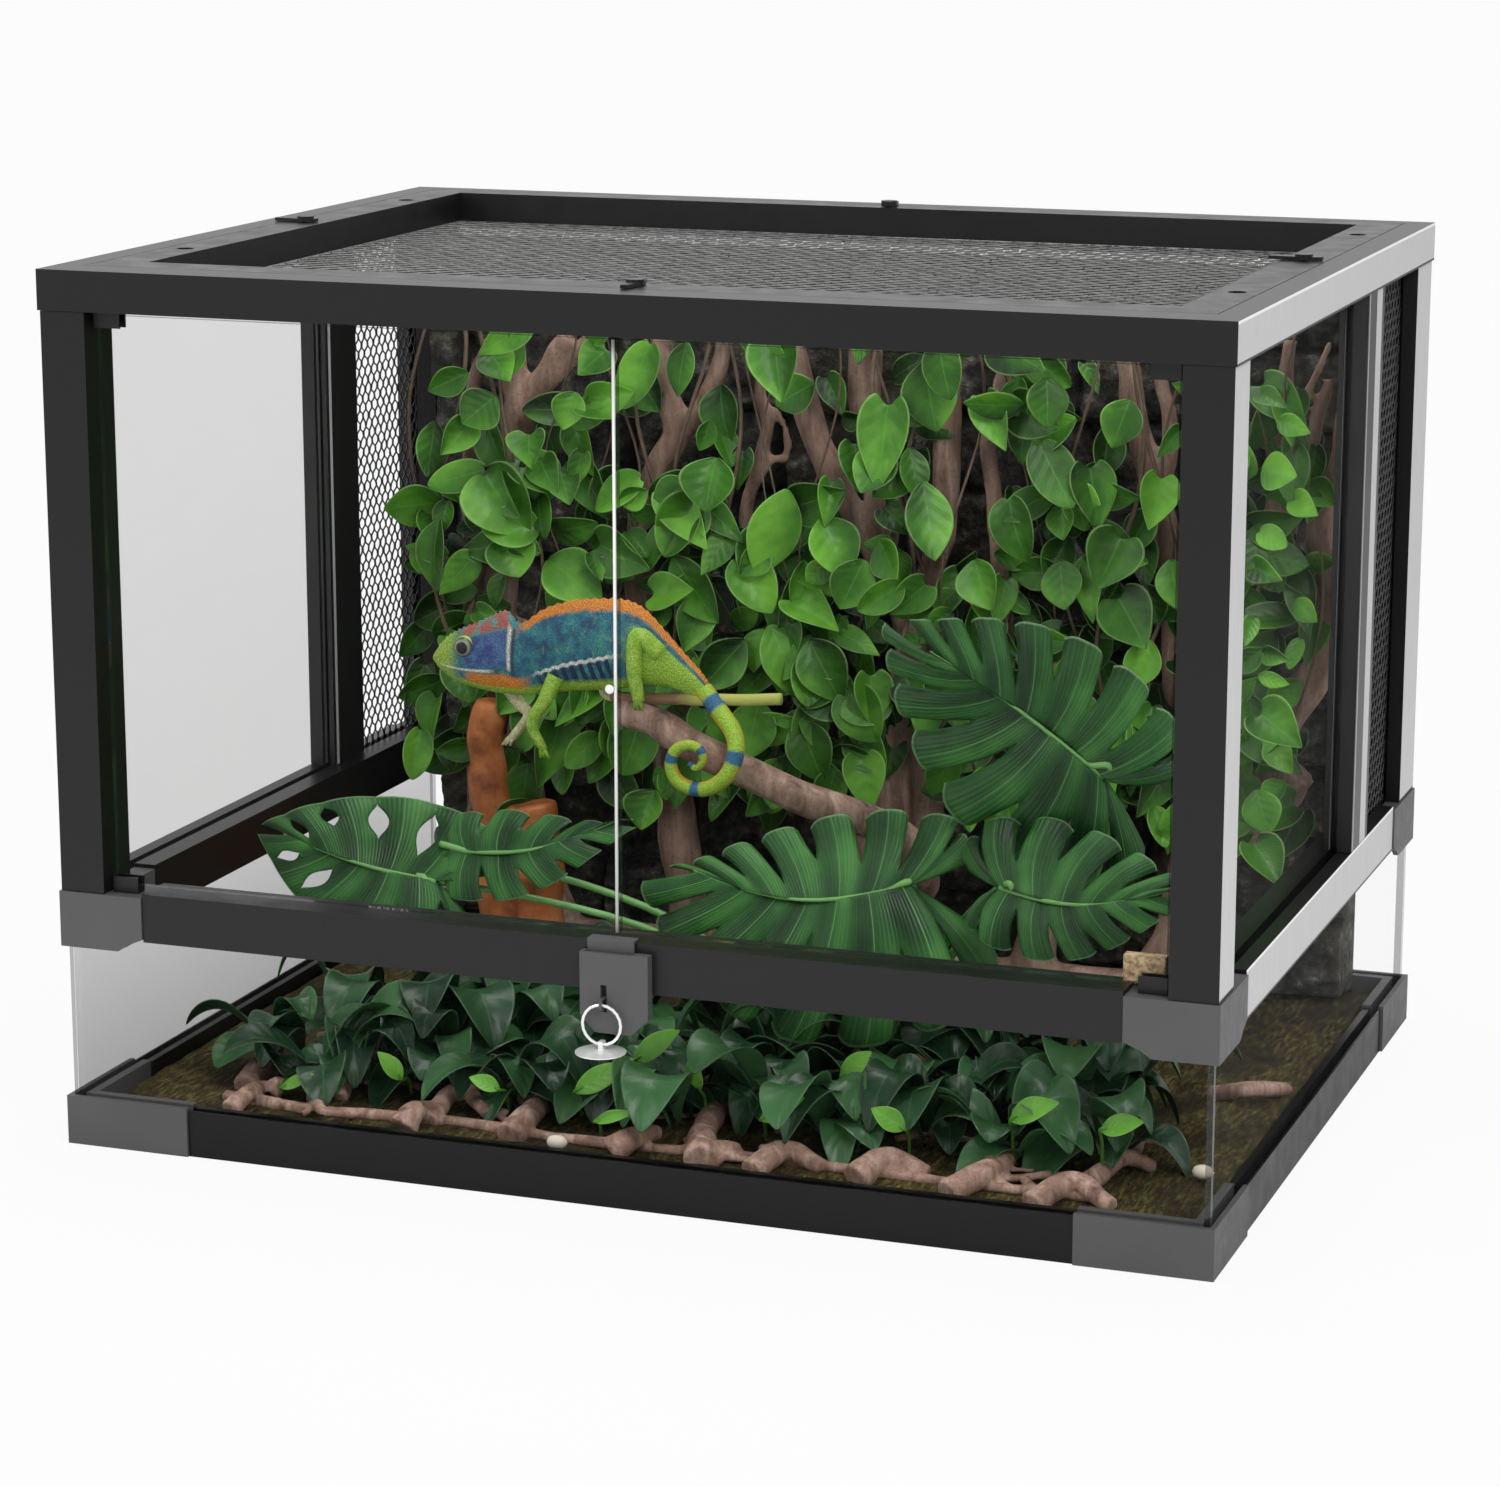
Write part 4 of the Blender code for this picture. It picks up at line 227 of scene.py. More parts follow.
def end_look(name, low, high):
    """Black, with a painted sheen on faces that look out sideways: pale grey where light falls, a painted
    highlight along the top edge and painted shade at the foot.
    """
    black = 0.005
    look = Look(name, black, 0.36, 0.0, 0.30)
    side = look.above(look.size(look.axes(look.normal)[0]), SIDEWAYS)
    x, _, z = look.axes(look.place)
    zone = look.times(side, look.above(look.size(x), SHEEN_REACH))
    streaks = look.noise(500.0, 2.0, place=look.stretch((1.0, 1.0, 0.06)))
    # Painted sheen: pale grey streaks on the sideways end faces, with a painted highlight at the top and
    # painted shade at the foot
    painted_sheen = look.over(look.mix(streaks, 0.46, 0.56), (look.above(z, high - TOP_HIGHLIGHT_BAND), 0.85),
                       (look.below(z, low + FOOT_SHADE_BAND), 0.02))
    look.color(look.mix(zone, black, painted_sheen))
    look.roughness(look.range(zone, 0.0, 1.0, 0.36, 0.45))
    look.grain(900.0, 0.00005, 0.25)
    return look.material


def connector_look():
    """Matt dark grey moulding with a faint mould grain."""
    look = Look("grey_moulding", 0.07, 0.55)
    look.clouded(30.0, 4.0, 0.052, 0.075)
    look.roughness(look.range(look.noise(120.0, 2.0), 0.3, 0.7, 0.48, 0.60))
    look.grain(1500.0, 0.00004, 0.3)
    return look.material


def mullion_look(name, low, high, sheen_strips):
    """Black bar with strips of painted sheen along its outward face, pale grey painted where light falls,
    each from one share to another.
    """
    look = Look(name, 0.008, 0.40, 0.0, 0.4)
    side = look.above(look.size(look.axes(look.normal)[0]), SIDEWAYS)
    share = look.range(look.axes(look.place)[1], low, high)
    streaks = look.noise(700.0, 2.0, place=look.stretch((1.0, 1.0, 0.05)))
    painted_sheen = look.mix(streaks, 0.40, 0.54)
    # Painted sheen: pale grey strips on the faces that look out sideways
    zones = [look.times(look.times(look.above(share, first), look.below(share, last)), side)
             for first, last in sheen_strips]
    look.color(look.over(look.mix(streaks, 0.006, 0.011), *[(zone, painted_sheen) for zone in zones]))
    look.bump(streaks, 0.00003, 0.3)
    return look.material


EDGE_OPACITY = 0.55


def glass_look(name, thin_axis=None, alpha=0.010):
    """Thin clear glass: almost invisible face on, a faint reflection at a slant, and darker cut edges."""
    look = Look(name, (0.015, 0.022, 0.020), 0.02)
    slant = look.feed("ShaderNodeLayerWeight", {"Blend": 0.35}, "Facing")
    opacity = look.range(slant, 0.0, 1.0, alpha, alpha + 0.02)
    if thin_axis is not None:
        edge = look.below(look.size(look.axes(look.normal)[thin_axis]), 0.5)
        opacity = look.math("MAXIMUM", opacity, look.times(edge, EDGE_OPACITY))
    look.set(look.shader, "Alpha", opacity)
    return look.material


def shaded_glass_look(name, low, high, low_alpha, high_alpha):
    """Glass seen at a slant against the pale room, its reflection painted in: a smooth grey that deepens
    towards its foot.
    """
    look = Look(name, 0.04, 0.03)
    look.set(look.shader, "Alpha", look.range(look.axes(look.place)[2], low, high, low_alpha, high_alpha))
    return look.material


def plain_look(name, color, roughness, metallic=0.0, grain=800.0):
    look = Look(name, color, roughness, metallic)
    look.clouded(40.0, 3.0, tuple(value * 0.88 for value in color), color)
    look.grain(grain, 0.00004, 0.2)
    return look.material


def cork_look():
    look = Look("cork", (0.46, 0.33, 0.19), 0.8, 0.0, 0.3)
    grain = look.noise(420.0, 3.0, 0.7)
    look.color(look.ramp(grain, (0.34, (0.20, 0.12, 0.06)), (0.50, (0.46, 0.33, 0.19)),
                         (0.66, (0.66, 0.50, 0.32))))
    look.bump(grain, 0.0006, 0.6)
    return look.material


# Shapes
UNMARKED = (0.0, 0.0, 0.0)


def curve_through(points, steps):
    """A Catmull-Rom curve through the given points."""
    ends = [points[0] * 2 - points[1]] + list(points) + [points[-1] * 2 - points[-2]]
    path = []
    for index in range(1, len(ends) - 2):
        before, start, stop, after = ends[index - 1:index + 3]
        for step in range(steps):
            t = step / steps
            path.append(0.5 * (2 * start + (stop - before) * t
                               + (2 * before - 5 * start + 4 * stop - after) * t * t
                               + (3 * start - before - 3 * stop + after) * t ** 3))
    path.append(ends[-2].copy())
    return path


class Form:
    """Collects grids and tubes, then makes one object; every point carries a mark of three numbers."""

    def __init__(self):
        self.points, self.faces, self.marks = [], [], []

    def grid(self, rows, closed=False):
        """Rows of (point, mark) with faces between them; gives the number of the first point."""
        first = len(self.points)
        width = len(rows[0])
        for row in rows:
            self.points += [point for point, mark in row]
            self.marks += [mark for point, mark in row]
        for line in range(len(rows) - 1):
            for column in range(width if closed else width - 1):
                after = (column + 1) % width
                start = first + line * width
                self.faces.append((start + column, start + after, start + width + after,
                                   start + width + column))
        return first

    def loft(self, rings):
        """A closed skin through rings of (point, mark), capped at both ends."""
        first = self.grid(rings, closed=True)
        sides = len(rings[0])
        last = first + (len(rings) - 1) * sides
        self.faces.append(tuple(range(first + sides - 1, first - 1, -1)))
        self.faces.append(tuple(range(last, last + sides)))

    def tube(self, path, radii, sides=8, mark=0.5):
        rings = []
        side = Vector((0.0, 0.0, 1.0))
        for index, (point, radius) in enumerate(zip(path, radii)):
            ahead = path[min(index + 1, len(path) - 1)] - path[max(index - 1, 0)]
            ahead.normalize()
            side = side - ahead * side.dot(ahead)
            if side.length < 1e-4:
                side = ahead.orthogonal()
            side.normalize()
            other = ahead.cross(side)
            ring = []
            for step in range(sides):
                angle = math.tau * step / sides
                place = point + (side * math.cos(angle) + other * math.sin(angle)) * radius
                ring.append((place, (step / sides, index / len(path), mark)))
            rings.append(ring)
        self.loft(rings)

    def make(self, name, material, slot, *nodes, body="tank", thickness=0.0, weld=0.0, remesh=0.0, smooth=0,
             subdivide=0):
        mesh = bpy.data.meshes.new(name)
        mesh.from_pydata([tuple(point) for point in self.points], [], self.faces)
        layer = mesh.attributes.new("mark", "FLOAT_VECTOR", "POINT")
        layer.data.foreach_set("vector", [value for mark in self.marks for value in mark])
        mesh.update()
        item = bpy.data.objects.new(name, mesh)
        bpy.context.scene.collection.objects.link(item)
        steps = (("WELD", weld, {"merge_threshold": weld}),
                 ("REMESH", remesh, {"mode": "VOXEL", "voxel_size": remesh}),
                 ("SMOOTH", smooth, {"iterations": smooth, "factor": 0.5}),
                 ("SOLIDIFY", thickness, {"thickness": thickness, "offset": 0.0}),
                 ("SUBSURF", subdivide, {"levels": subdivide, "render_levels": subdivide}))
        for kind, used, settings in steps:
            if used:
                step = item.modifiers.new(kind.lower(), kind)
                for key, value in settings.items():
                    setattr(step, key, value)
        if item.modifiers:
            bpy.context.view_layer.update()
            baked = bpy.data.meshes.new_from_object(item.evaluated_get(bpy.context.evaluated_depsgraph_get()))
            item.modifiers.clear()
            item.data = baked
        item.data.materials.clear()
        item.data.materials.append(material)
        item.data.shade_smooth()
        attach(item, body)
        if nodes:
            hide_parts(*nodes)


# Frame, panes and fittings
SEAL_WIDTH = 0.0012
SEAL_DEPTH = 0.0016
SIDES = ("left", "right", "front", "back")
CORNERS = ("front_left", "front_right", "back_left", "back_right")
# Strips of painted sheen on each mullion's outward face, as shares of its width
MULLION_SHEEN_STRIPS = (("left", ((0.08, 0.16),)), ("right", ((0.06, 0.10), (0.52, 0.86))))


def paint(material, *names):
    for name in names:
        NODES[name].data.materials.clear()
        NODES[name].data.materials.append(material)


def seal_strip(material):
    """The thin strip on the free edge of the left door."""
    low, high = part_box("door_seal_strip")
    right, back = low.x + SEAL_WIDTH, low.y + SEAL_DEPTH
    outline = ((low.x, low.y), (right, low.y), (right, back), (low.x, back))
    strip = Form()
    strip.loft([[(Vector((x, y, z)), UNMARKED) for x, y in outline] for z in (low.z, high.z)])
    strip.make("seal_strip", material, "white", "door_seal_strip", body="door_left")


def dress_frame():
    coat = coated_look("black_coat", 0.004, 0.007, 0.32)
    paint(coat, "mid_rail_front", "mid_rail_back", "lid_frame", *[f"lid_clip_{side}" for side in SIDES])
    paint(coat, *[f"door_hinge_{level}_{side}" for level in ("lower", "upper") for side in SIDES[:2]])
    paint(coated_look("base_coat", 0.002, 0.004, 0.25), *[f"base_rail_{side}" for side in SIDES])
    # Side rails, top frame and posts: black coat with a painted sheen on their side ends
    low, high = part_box("mid_rail_right")
    paint(end_look("mid_rail_coat_and_sheen", low.z, high.z), "mid_rail_left", "mid_rail_right")
    low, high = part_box("top_frame")
    paint(end_look("top_frame_coat_and_sheen", low.z, high.z), "top_frame")
    low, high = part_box("post_front_right")
    paint(end_look("post_coat_and_sheen", low.z, NO_TOP_HIGHLIGHT), *[f"post_{corner}" for corner in CORNERS])
    paint(connector_look(), "lock_cover", "lock_catch",
          *[f"{level}_corner_{corner}" for level in ("base", "mid") for corner in CORNERS])
    for side, sheen_strips in MULLION_SHEEN_STRIPS:
        low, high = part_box(f"side_mullion_{side}")
        paint(mullion_look(f"mullion_{side}", low.y, high.y, sheen_strips), f"side_mullion_{side}")
    paint(glass_look("clear_glass"), "side_glass_right", "base_glass", "rear_glass")
    paint(glass_look("door_glass", 1), "door_glass_left", "door_glass_right")
    paint(glass_look("lower_glass_across", 1), "lower_glass_front", "lower_glass_back")
    paint(glass_look("lower_glass_along", 0), "lower_glass_right")
    paint(shaded_glass_look("upper_left_glass", 0.13, 0.43, 0.19, 0.15), "side_glass_left")
    paint(shaded_glass_look("lower_left_glass", 0.02, 0.12, 0.40, 0.24), "lower_glass_left")
    white = plain_look("white_plastic", (0.84, 0.84, 0.82), 0.35)
    paint(white, "door_seal_strip", "door_knob")
    seal_strip(white)
    paint(plain_look("bright_metal", (0.88, 0.88, 0.88), 0.25, 0.35), "pull_ring", "pull_plate")
    paint(cork_look(), "cork_block")


# Leaves
# Rows of a leaf as shares of its length and of its half width
HEART_ROWS = ((0.0, 0.42), (0.06, 0.78), (0.16, 0.98), (0.30, 1.0), (0.46, 0.90), (0.62, 0.68), (0.78, 0.42),
              (0.91, 0.18), (1.0, 0.02))
OVAL_ROWS = ((0.0, 0.06), (0.08, 0.38), (0.20, 0.74), (0.36, 0.97), (0.52, 1.0), (0.68, 0.84), (0.82, 0.56),
             (0.93, 0.26), (1.0, 0.02))
ROUND_ROWS = ((0.0, 0.20), (0.07, 0.60), (0.18, 0.88), (0.34, 1.0), (0.52, 0.99), (0.70, 0.84), (0.85, 0.58),
              (0.95, 0.30), (1.0, 0.04))
# Each shape with how far its lobes reach back past the stalk
LEAF_SHAPES = ((HEART_ROWS, 0.20), (OVAL_ROWS, 0.02), (ROUND_ROWS, 0.08))
LEAF_COLUMNS = (-1.0, -0.62, 0.0, 0.62, 1.0)


def leaf_axes(base, tip, normal):
    """A leaf's length, and its directions along, across and out of its face."""
    along = tip - base
    length = along.length
    along.normalize()
    across = along.cross(normal).normalized()
    return length, along, across, across.cross(along)


def heart_leaf(form, base, tip, width, normal, tint, fold, curl, shape, shade):
    """A leaf from its stalk to its tip, folded along its rib and bent back; shade paints one half paler and
    the other darker, as light falls on the fold.
    """
    length, along, across, lift = leaf_axes(base, tip, normal)
    rows, lobe = shape
    grid = []
    for share, reach in rows:
        half = width / 2 * reach
        line = []
        for side in LEAF_COLUMNS:
            back = lobe * length * abs(side) ** 1.4 * (1 - share) ** 5
            rise = fold * half * abs(side) ** 1.3 - curl * length * share * share
            point = base + along * (length * share - back) + across * (half * side) + lift * rise
            # Third mark number: the leaf's tint, with painted light and shade on its two halves, and darker
            # towards the stalk
            line.append((point, (side, share, tint + shade * side - 0.22 * (1 - share) ** 2)))
        grid.append(line)
    form.grid(grid)


def leaf_look(name, deep, mid, bright, rim, vein, gloss, veins, vein_strength, rib_strength):
    """Waxy leaf: colour by leaf and by half (the halves' difference is painted light and shade), paler rib,
    faint side veins and rim, soft cloudiness, fine bump.
    """
    look = Look(name, mid, gloss, 0.0, 0.28)
    across, along, tint = look.marks()
    side = look.size(across)
    level = look.plus(tint, look.range(look.noise(60.0, 3.0), 0.3, 0.7, -0.16, 0.16))
    lean = look.minus(look.times(along, veins), look.times(side, 1.4))
    stripe = look.size(look.minus(look.math("FRACT", lean), 0.5))
    vein_line = look.range(stripe, 0.0, 0.07, vein_strength, 0.0)
    rib = look.range(side, 0.0, 0.06, rib_strength, 0.0)
    look.color(look.over(look.ramp(level, (0.0, deep), (0.5, mid), (1.0, bright)),
                         (look.math("MAXIMUM", vein_line, rib), vein),
                         (look.range(side, 0.95, 0.99, 0.0, 0.35), rim)))
    look.bump(look.plus(look.times(stripe, 1.2), look.times(look.noise(700.0, 2.0), 0.25)), 0.0005, 0.5)
    return look.material


# Climbing vine
# Leaves that stand out: stalk x, y, tip x, y and width in the photograph's pixels, and depth y in millimetres
VINE_LEAVES = (
    (650, 345, 620, 409, 44, 108), (687, 342, 674, 394, 34, 112), (776, 344, 783, 404, 54, 104),
    (888, 408, 878, 492, 54, 106), (940, 344, 946, 398, 50, 104), (925, 362, 934, 430, 62, 112),
    (717, 458, 706, 513, 56, 106), (787, 490, 760, 578, 58, 106), (822, 518, 848, 574, 54, 106),
    (855, 446, 858, 490, 34, 112), (923, 482, 934, 562, 58, 104), (668, 496, 708, 551, 42, 108),
    (674, 556, 716, 624, 44, 108), (850, 578, 797, 586, 40, 108), (900, 585, 858, 612, 34, 104),
    (795, 600, 836, 626, 44, 108), (496, 396, 462, 424, 46, 104), (468, 425, 441, 455, 34, 104),
    (484, 470, 428, 486, 34, 106), (468, 372, 428, 392, 32, 110), (492, 356, 509, 379, 36, 104),
    (606, 351, 578, 376, 40, 104), (575, 392, 562, 428, 34, 104), (530, 436, 528, 465, 46, 104),
    (486, 474, 520, 531, 62, 106), (542, 462, 552, 490, 38, 108), (440, 520, 424, 590, 36, 104),
    (470, 560, 440, 596, 34, 104), (560, 470, 570, 506, 36, 112), (505, 540, 519, 575, 46, 106),
    (640, 480, 590, 500, 48, 112), (602, 545, 650, 570, 56, 112), (548, 560, 600, 600, 52, 114),
    (1000, 345, 1046, 372, 52, 104), (1046, 378, 1050, 425, 46, 106), (1040, 445, 1072, 510, 56, 104),
    (985, 400, 1004, 450, 40, 110), (1130, 400, 1112, 446, 46, 104), (1090, 470, 1100, 530, 50, 106),
    (1010, 500, 1020, 560, 50, 106), (1120, 540, 1096, 590, 56, 104), (1160, 480, 1150, 530, 44, 106),
    (1060, 560, 1064, 610, 48, 108), (1120, 600, 1148, 650, 56, 104), (975, 560, 990, 610, 44, 108),
    (745, 640, 700, 690, 52, 104), (770, 625, 800, 690, 56, 104), (810, 640, 838, 700, 52, 104),
    (760, 700, 745, 760, 50, 106), (800, 720, 820, 780, 54, 104), (850, 690, 872, 740, 50, 106),
    (862, 760, 870, 812, 46, 106), (700, 610, 684, 652, 46, 108), (640, 720, 622, 776, 50, 106),
    (655, 790, 640, 830, 46, 106), (560, 720, 540, 790, 50, 108), (530, 800, 500, 840, 46, 106),
    (455, 660, 470, 700, 34, 108), (600, 610, 640, 640, 40, 112), (700, 500, 660, 540, 52, 108),
    (740, 560, 770, 610, 48, 108), (880, 540, 900, 580, 40, 110), (1150, 640, 1130, 690, 46, 106),
    (420, 730, 412, 780, 30, 104), (1170, 560, 1180, 610, 40, 108),
)
SIDE_LEAVES = (
    (1262, 396, 1284, 404, 24, 90), (1278, 420, 1306, 432, 26, 80), (1262, 470, 1296, 476, 40, 90),
    (1296, 500, 1318, 516, 28, 90), (1260, 532, 1286, 546, 30, 80), (1256, 568, 1280, 580, 28, 80),
    (1296, 600, 1316, 622, 26, 90), (1262, 652, 1284, 660, 20, 80), (1258, 676, 1282, 684, 18, 70),
    (1262, 716, 1302, 748, 48, 60), (1256, 790, 1268, 832, 40, 60), (1254, 846, 1280, 884, 46, 50),
    (1252, 620, 1246, 646, 18, 70), (1300, 640, 1288, 668, 20, 90),
)
WALL_REACH = 0.276
TRUNK_CLEARANCE = 0.010
# How far behind the plane of its own measures the part stands in the shared frame
STAND_SHIFT = 0.012
TOWARD_CAMERA = Vector((0.30, -0.92, 0.26))
FILLER_LEAVES = 820
VINE_STEMS = 26


def trunk_lines():
    """The trunks' centre lines on the wall, as pairs of points in x and z."""
    lines = []
    for start, end, *places in TRUNKS:
        points = [spot(px, py, TRUNK_PLANE) for px, py in places]
        lines += [(Vector((a.x, a.z)), Vector((b.x, b.z))) for a, b in zip(points, points[1:])]
    return lines


def trunk_gap(x, z, lines):
    """How far a place on the wall is from the nearest trunk."""
    best = 1.0
    for start, stop in lines:
        reach = stop - start
        share = min(1.0, max(0.0, (Vector((x, z)) - start).dot(reach) / reach.length_squared))
        best = min(best, (Vector((x, z)) - start - reach * share).length)
    return best


def placed_leaves(form, rng, table, lean, reach):
    for stalk_x, stalk_y, tip_x, tip_y, width, depth in table:
        y = depth / 1000 + STAND_SHIFT
        base, tip = spot(stalk_x, stalk_y, y), spot(tip_x, tip_y, y - 0.010)
        base.x, tip.x = min(base.x, reach), min(tip.x, reach)
        scale = (spot(stalk_x + 10, stalk_y, y) - spot(stalk_x, stalk_y, y)).length / 10
        normal = TOWARD_CAMERA + Vector((rng.uniform(-lean, lean), 0.0, rng.uniform(-lean, lean)))
        shape = LEAF_SHAPES[rng.randrange(3)]
        heart_leaf(form, base, tip, width * scale * rng.uniform(0.86, 1.08), normal, rng.uniform(0.34, 0.92),
                   rng.uniform(0.05, 0.75), rng.uniform(-0.10, 0.34), shape, rng.uniform(-0.30, 0.30))


def filler_leaves(form, rng):
    """Many small leaves in layers, thinner high up and before the trunks; the deeper layers are painted
    darker as shade.
    """
    lines = trunk_lines()
    for index in range(FILLER_LEAVES):
        x = rng.uniform(-0.256, 0.262)
        z = rng.uniform(0.130, 0.404)
        layer = rng.random()
        high = max(0.0, min(1.0, (z - 0.27) / 0.10))
        if rng.random() < high * 0.60 or (trunk_gap(x, z, lines) < TRUNK_CLEARANCE
                                          and rng.random() < 0.35 + 0.60 * high):
            continue
        base = Vector((x, 0.116 + 0.034 * layer, z))
        angle = rng.gauss(0.0, 0.95)
        length = rng.uniform(0.015, 0.031)
        tip = base + Vector((math.sin(angle), rng.uniform(-0.6, -0.05), -math.cos(angle))) * length
        normal = TOWARD_CAMERA + Vector((rng.uniform(-0.8, 0.8), 0.0, rng.uniform(-0.7, 0.6)))
        shape = LEAF_SHAPES[rng.randrange(3)]
        # Tint: painted shade darkens the deeper layers, with a random tone on top
        heart_leaf(form, base, tip, length * rng.uniform(0.62, 0.95), normal,
                   0.58 * (1 - layer) + rng.uniform(-0.1, 0.25), rng.uniform(0.0, 0.7),
                   rng.uniform(-0.08, 0.30), shape, rng.uniform(-0.25, 0.25))


def climbing_vine():
    """Leaves in layers on thin stems before the trunks: hearts, ovals and rounds, leaning every way."""
    form = Form()
    rng = random.Random(7)
    placed_leaves(form, rng, VINE_LEAVES, 0.55, math.inf)
    placed_leaves(form, rng, SIDE_LEAVES, 0.6, WALL_REACH)
    filler_leaves(form, rng)
    green = leaf_look("vine_leaf", (0.005, 0.024, 0.003), (0.046, 0.175, 0.013), (0.190, 0.500, 0.050),
                      (0.34, 0.56, 0.18), (0.16, 0.42, 0.08), 0.38, 5.0, 0.07, 0.30)
    form.make("vine_leaves", green, "leaf", "climbing_vine", thickness=0.0006, subdivide=1)
    stems = Form()
    for index in range(VINE_STEMS):
        x = -0.252 + 0.504 * index / (VINE_STEMS - 1) + rng.uniform(-0.008, 0.008)
        y = 0.122 + 0.018 * rng.random()
        path = curve_through([Vector((x + 0.012 * math.sin(step * 0.9 + index * 1.7),
                                      y + 0.004 * math.sin(step * 1.6 + index), 0.15 + 0.255 * step / 8))
                              for step in range(9)], 3)
        stems.tube(path, [0.0009 + 0.0004 * math.sin(index)] * len(path), 6)
    look = Look("vine_stem", (0.14, 0.085, 0.05), 0.7)
    look.clouded(120.0, 3.0, (0.05, 0.035, 0.02), (0.22, 0.15, 0.10))
    stems.make("vine_stems", look.material, "leaf")


# Split leaves
SPLIT_STEPS = 10
SPLIT_COLUMNS = 24


def split_leaf(form, base, tip, half_left, half_right, normal, lobes, droop, bend, holed):
    """A split leaf: two halves whose lobes follow the side veins, parted by narrow slits or by long holes."""
    length, along, across, lift = leaf_axes(base, tip, normal)

    def rib(share):
        sway = bend * length * math.sin(math.pi * share)
        return base + along * (length * share) + across * sway - lift * (droop * length * share * share)

    def slit(s, inner):
        outward = min(max((s - inner) / (1.0 - inner), 0.0), 1.0)
        if holed:
            return 0.21 * math.sin(math.pi * min(1.0, outward * 1.25)) ** 1.1 if outward < 0.8 else 0.0
        return 0.125 * math.sin(math.pi / 2 * outward) ** 0.7 if outward > 0.0 else 0.0

    def point_at(hand, half, lobe, inner, s):
        before = slit(s, 0.28 + 0.15 * ((lobe * 7 + hand) % 3)) if lobe else 0.0
        after = slit(s, 0.28 + 0.15 * (((lobe + 1) * 7 + hand) % 3)) if lobe < lobes - 1 else 0.0
        k = (lobe + before + inner * (1 - before - after)) / lobes
        start = rib(max(0.0, (k - 0.16) / 0.84) * 0.94)
        turn = math.radians(158 - 136 * k ** 0.85)
        reach = half * (0.66 + 0.55 * math.sin(math.pi * min(1.0, k * 0.95 + 0.06)) ** 0.8) * (1 - 0.72 * k)
        corner = abs(2 * inner - 1)
        if not holed:
            reach *= 1 - 0.09 * corner ** 4
        out = across * hand * math.sin(turn) + along * math.cos(turn)
        wave = 0.055 * half * s * (1 - corner ** 2) - 0.20 * half * s ** 2.2
        wave += 0.05 * half * math.sin(9 * k + hand)
        place = start + out * (reach * s) + along * (0.22 * half * s * s) + lift * wave
        return place, (hand * s, k * lobes, 0.0)

    for hand, half in ((-1, half_left), (1, half_right)):
        for lobe in range(lobes):
            form.grid([[point_at(hand, half, lobe, step / SPLIT_STEPS, column / SPLIT_COLUMNS)
                        for column in range(SPLIT_COLUMNS + 1)] for step in range(SPLIT_STEPS + 1)])
    return [rib(step / SPLIT_STEPS * 0.97) + lift * 0.0006 for step in range(SPLIT_STEPS + 1)]


def split_leaf_look():
    """Deep green blade: painted light and shade on either side of each pale side vein, fine fibres and a pale
    rim.
    """
    look = Look("split_leaf_green", (0.02, 0.10, 0.03), 0.34, 0.0, 0.22)
    across, along, _ = look.marks()
    side = look.size(across)
    centre = look.size(look.minus(look.math("FRACT", along), 0.5))
    fibres = look.math("SINE", look.times(along, 75.0))
    cloud = look.noise(28.0, 3.0)
    # Painted light and shade: one side of each lobe's vein paler and the other darker, over random cloudiness
    shade = look.plus(look.times(look.math("SINE", look.times(along, 6.283)), 0.15), look.times(cloud, 0.9))
    blade = look.ramp(look.plus(shade, look.times(fibres, 0.04)), (0.20, (0.004, 0.026, 0.005)),
                      (0.50, (0.017, 0.082, 0.015)), (0.80, (0.060, 0.200, 0.042)))
    vein = look.times(look.range(centre, 0.003, 0.018, 0.75, 0.0), look.range(side, 0.1, 1.0, 1.0, 0.25))
    between = look.size(look.minus(look.math("FRACT", look.times(along, 5.0)), 0.5))
    look.color(look.over(blade, (vein, (0.16, 0.34, 0.12)),
                         (look.range(between, 0.0, 0.06, 0.20, 0.0), (0.06, 0.20, 0.06)),
                         (look.range(side, 0.975, 0.995, 0.0, 0.6), (0.22, 0.38, 0.18))))
    look.roughness(look.range(cloud, 0.3, 0.7, 0.34, 0.48))
    look.bump(look.plus(look.times(fibres, 0.25), look.times(centre, 2.0)), 0.0007, 0.5)
    return look.material


# Stalk end, tip (photograph's pixels and depth y in millimetres), half widths in millimetres, facing, lobes,
# droop, bend, and whether holes part the lobes
SPLIT_LEAVES = (
    ((437, 882, -96), (276, 828, -104), 46, 50, (-0.1, -1.0, 0.62), 6, 0.10, -0.04, True),
    ((452, 850, -86), (612, 812, -92), 30, 30, (0.1, -1.0, 0.80), 6, 0.10, 0.10, False),
    ((911, 886, -96), (684, 866, -106), 88, 52, (0.05, -1.0, 0.40), 8, 0.06, -0.10, False),
    ((1104, 779, -84), (922, 650, -96), 80, 56, (-0.25, -1.0, 0.26), 8, 0.06, 0.03, False),
    ((1000, 888, -118), (1164, 888, -124), 50, 34, (0.0, -1.0, 0.60), 7, 0.08, 0.10, False),
)
SPLIT_CROWN = Vector((0.075, -0.038, 0.022))


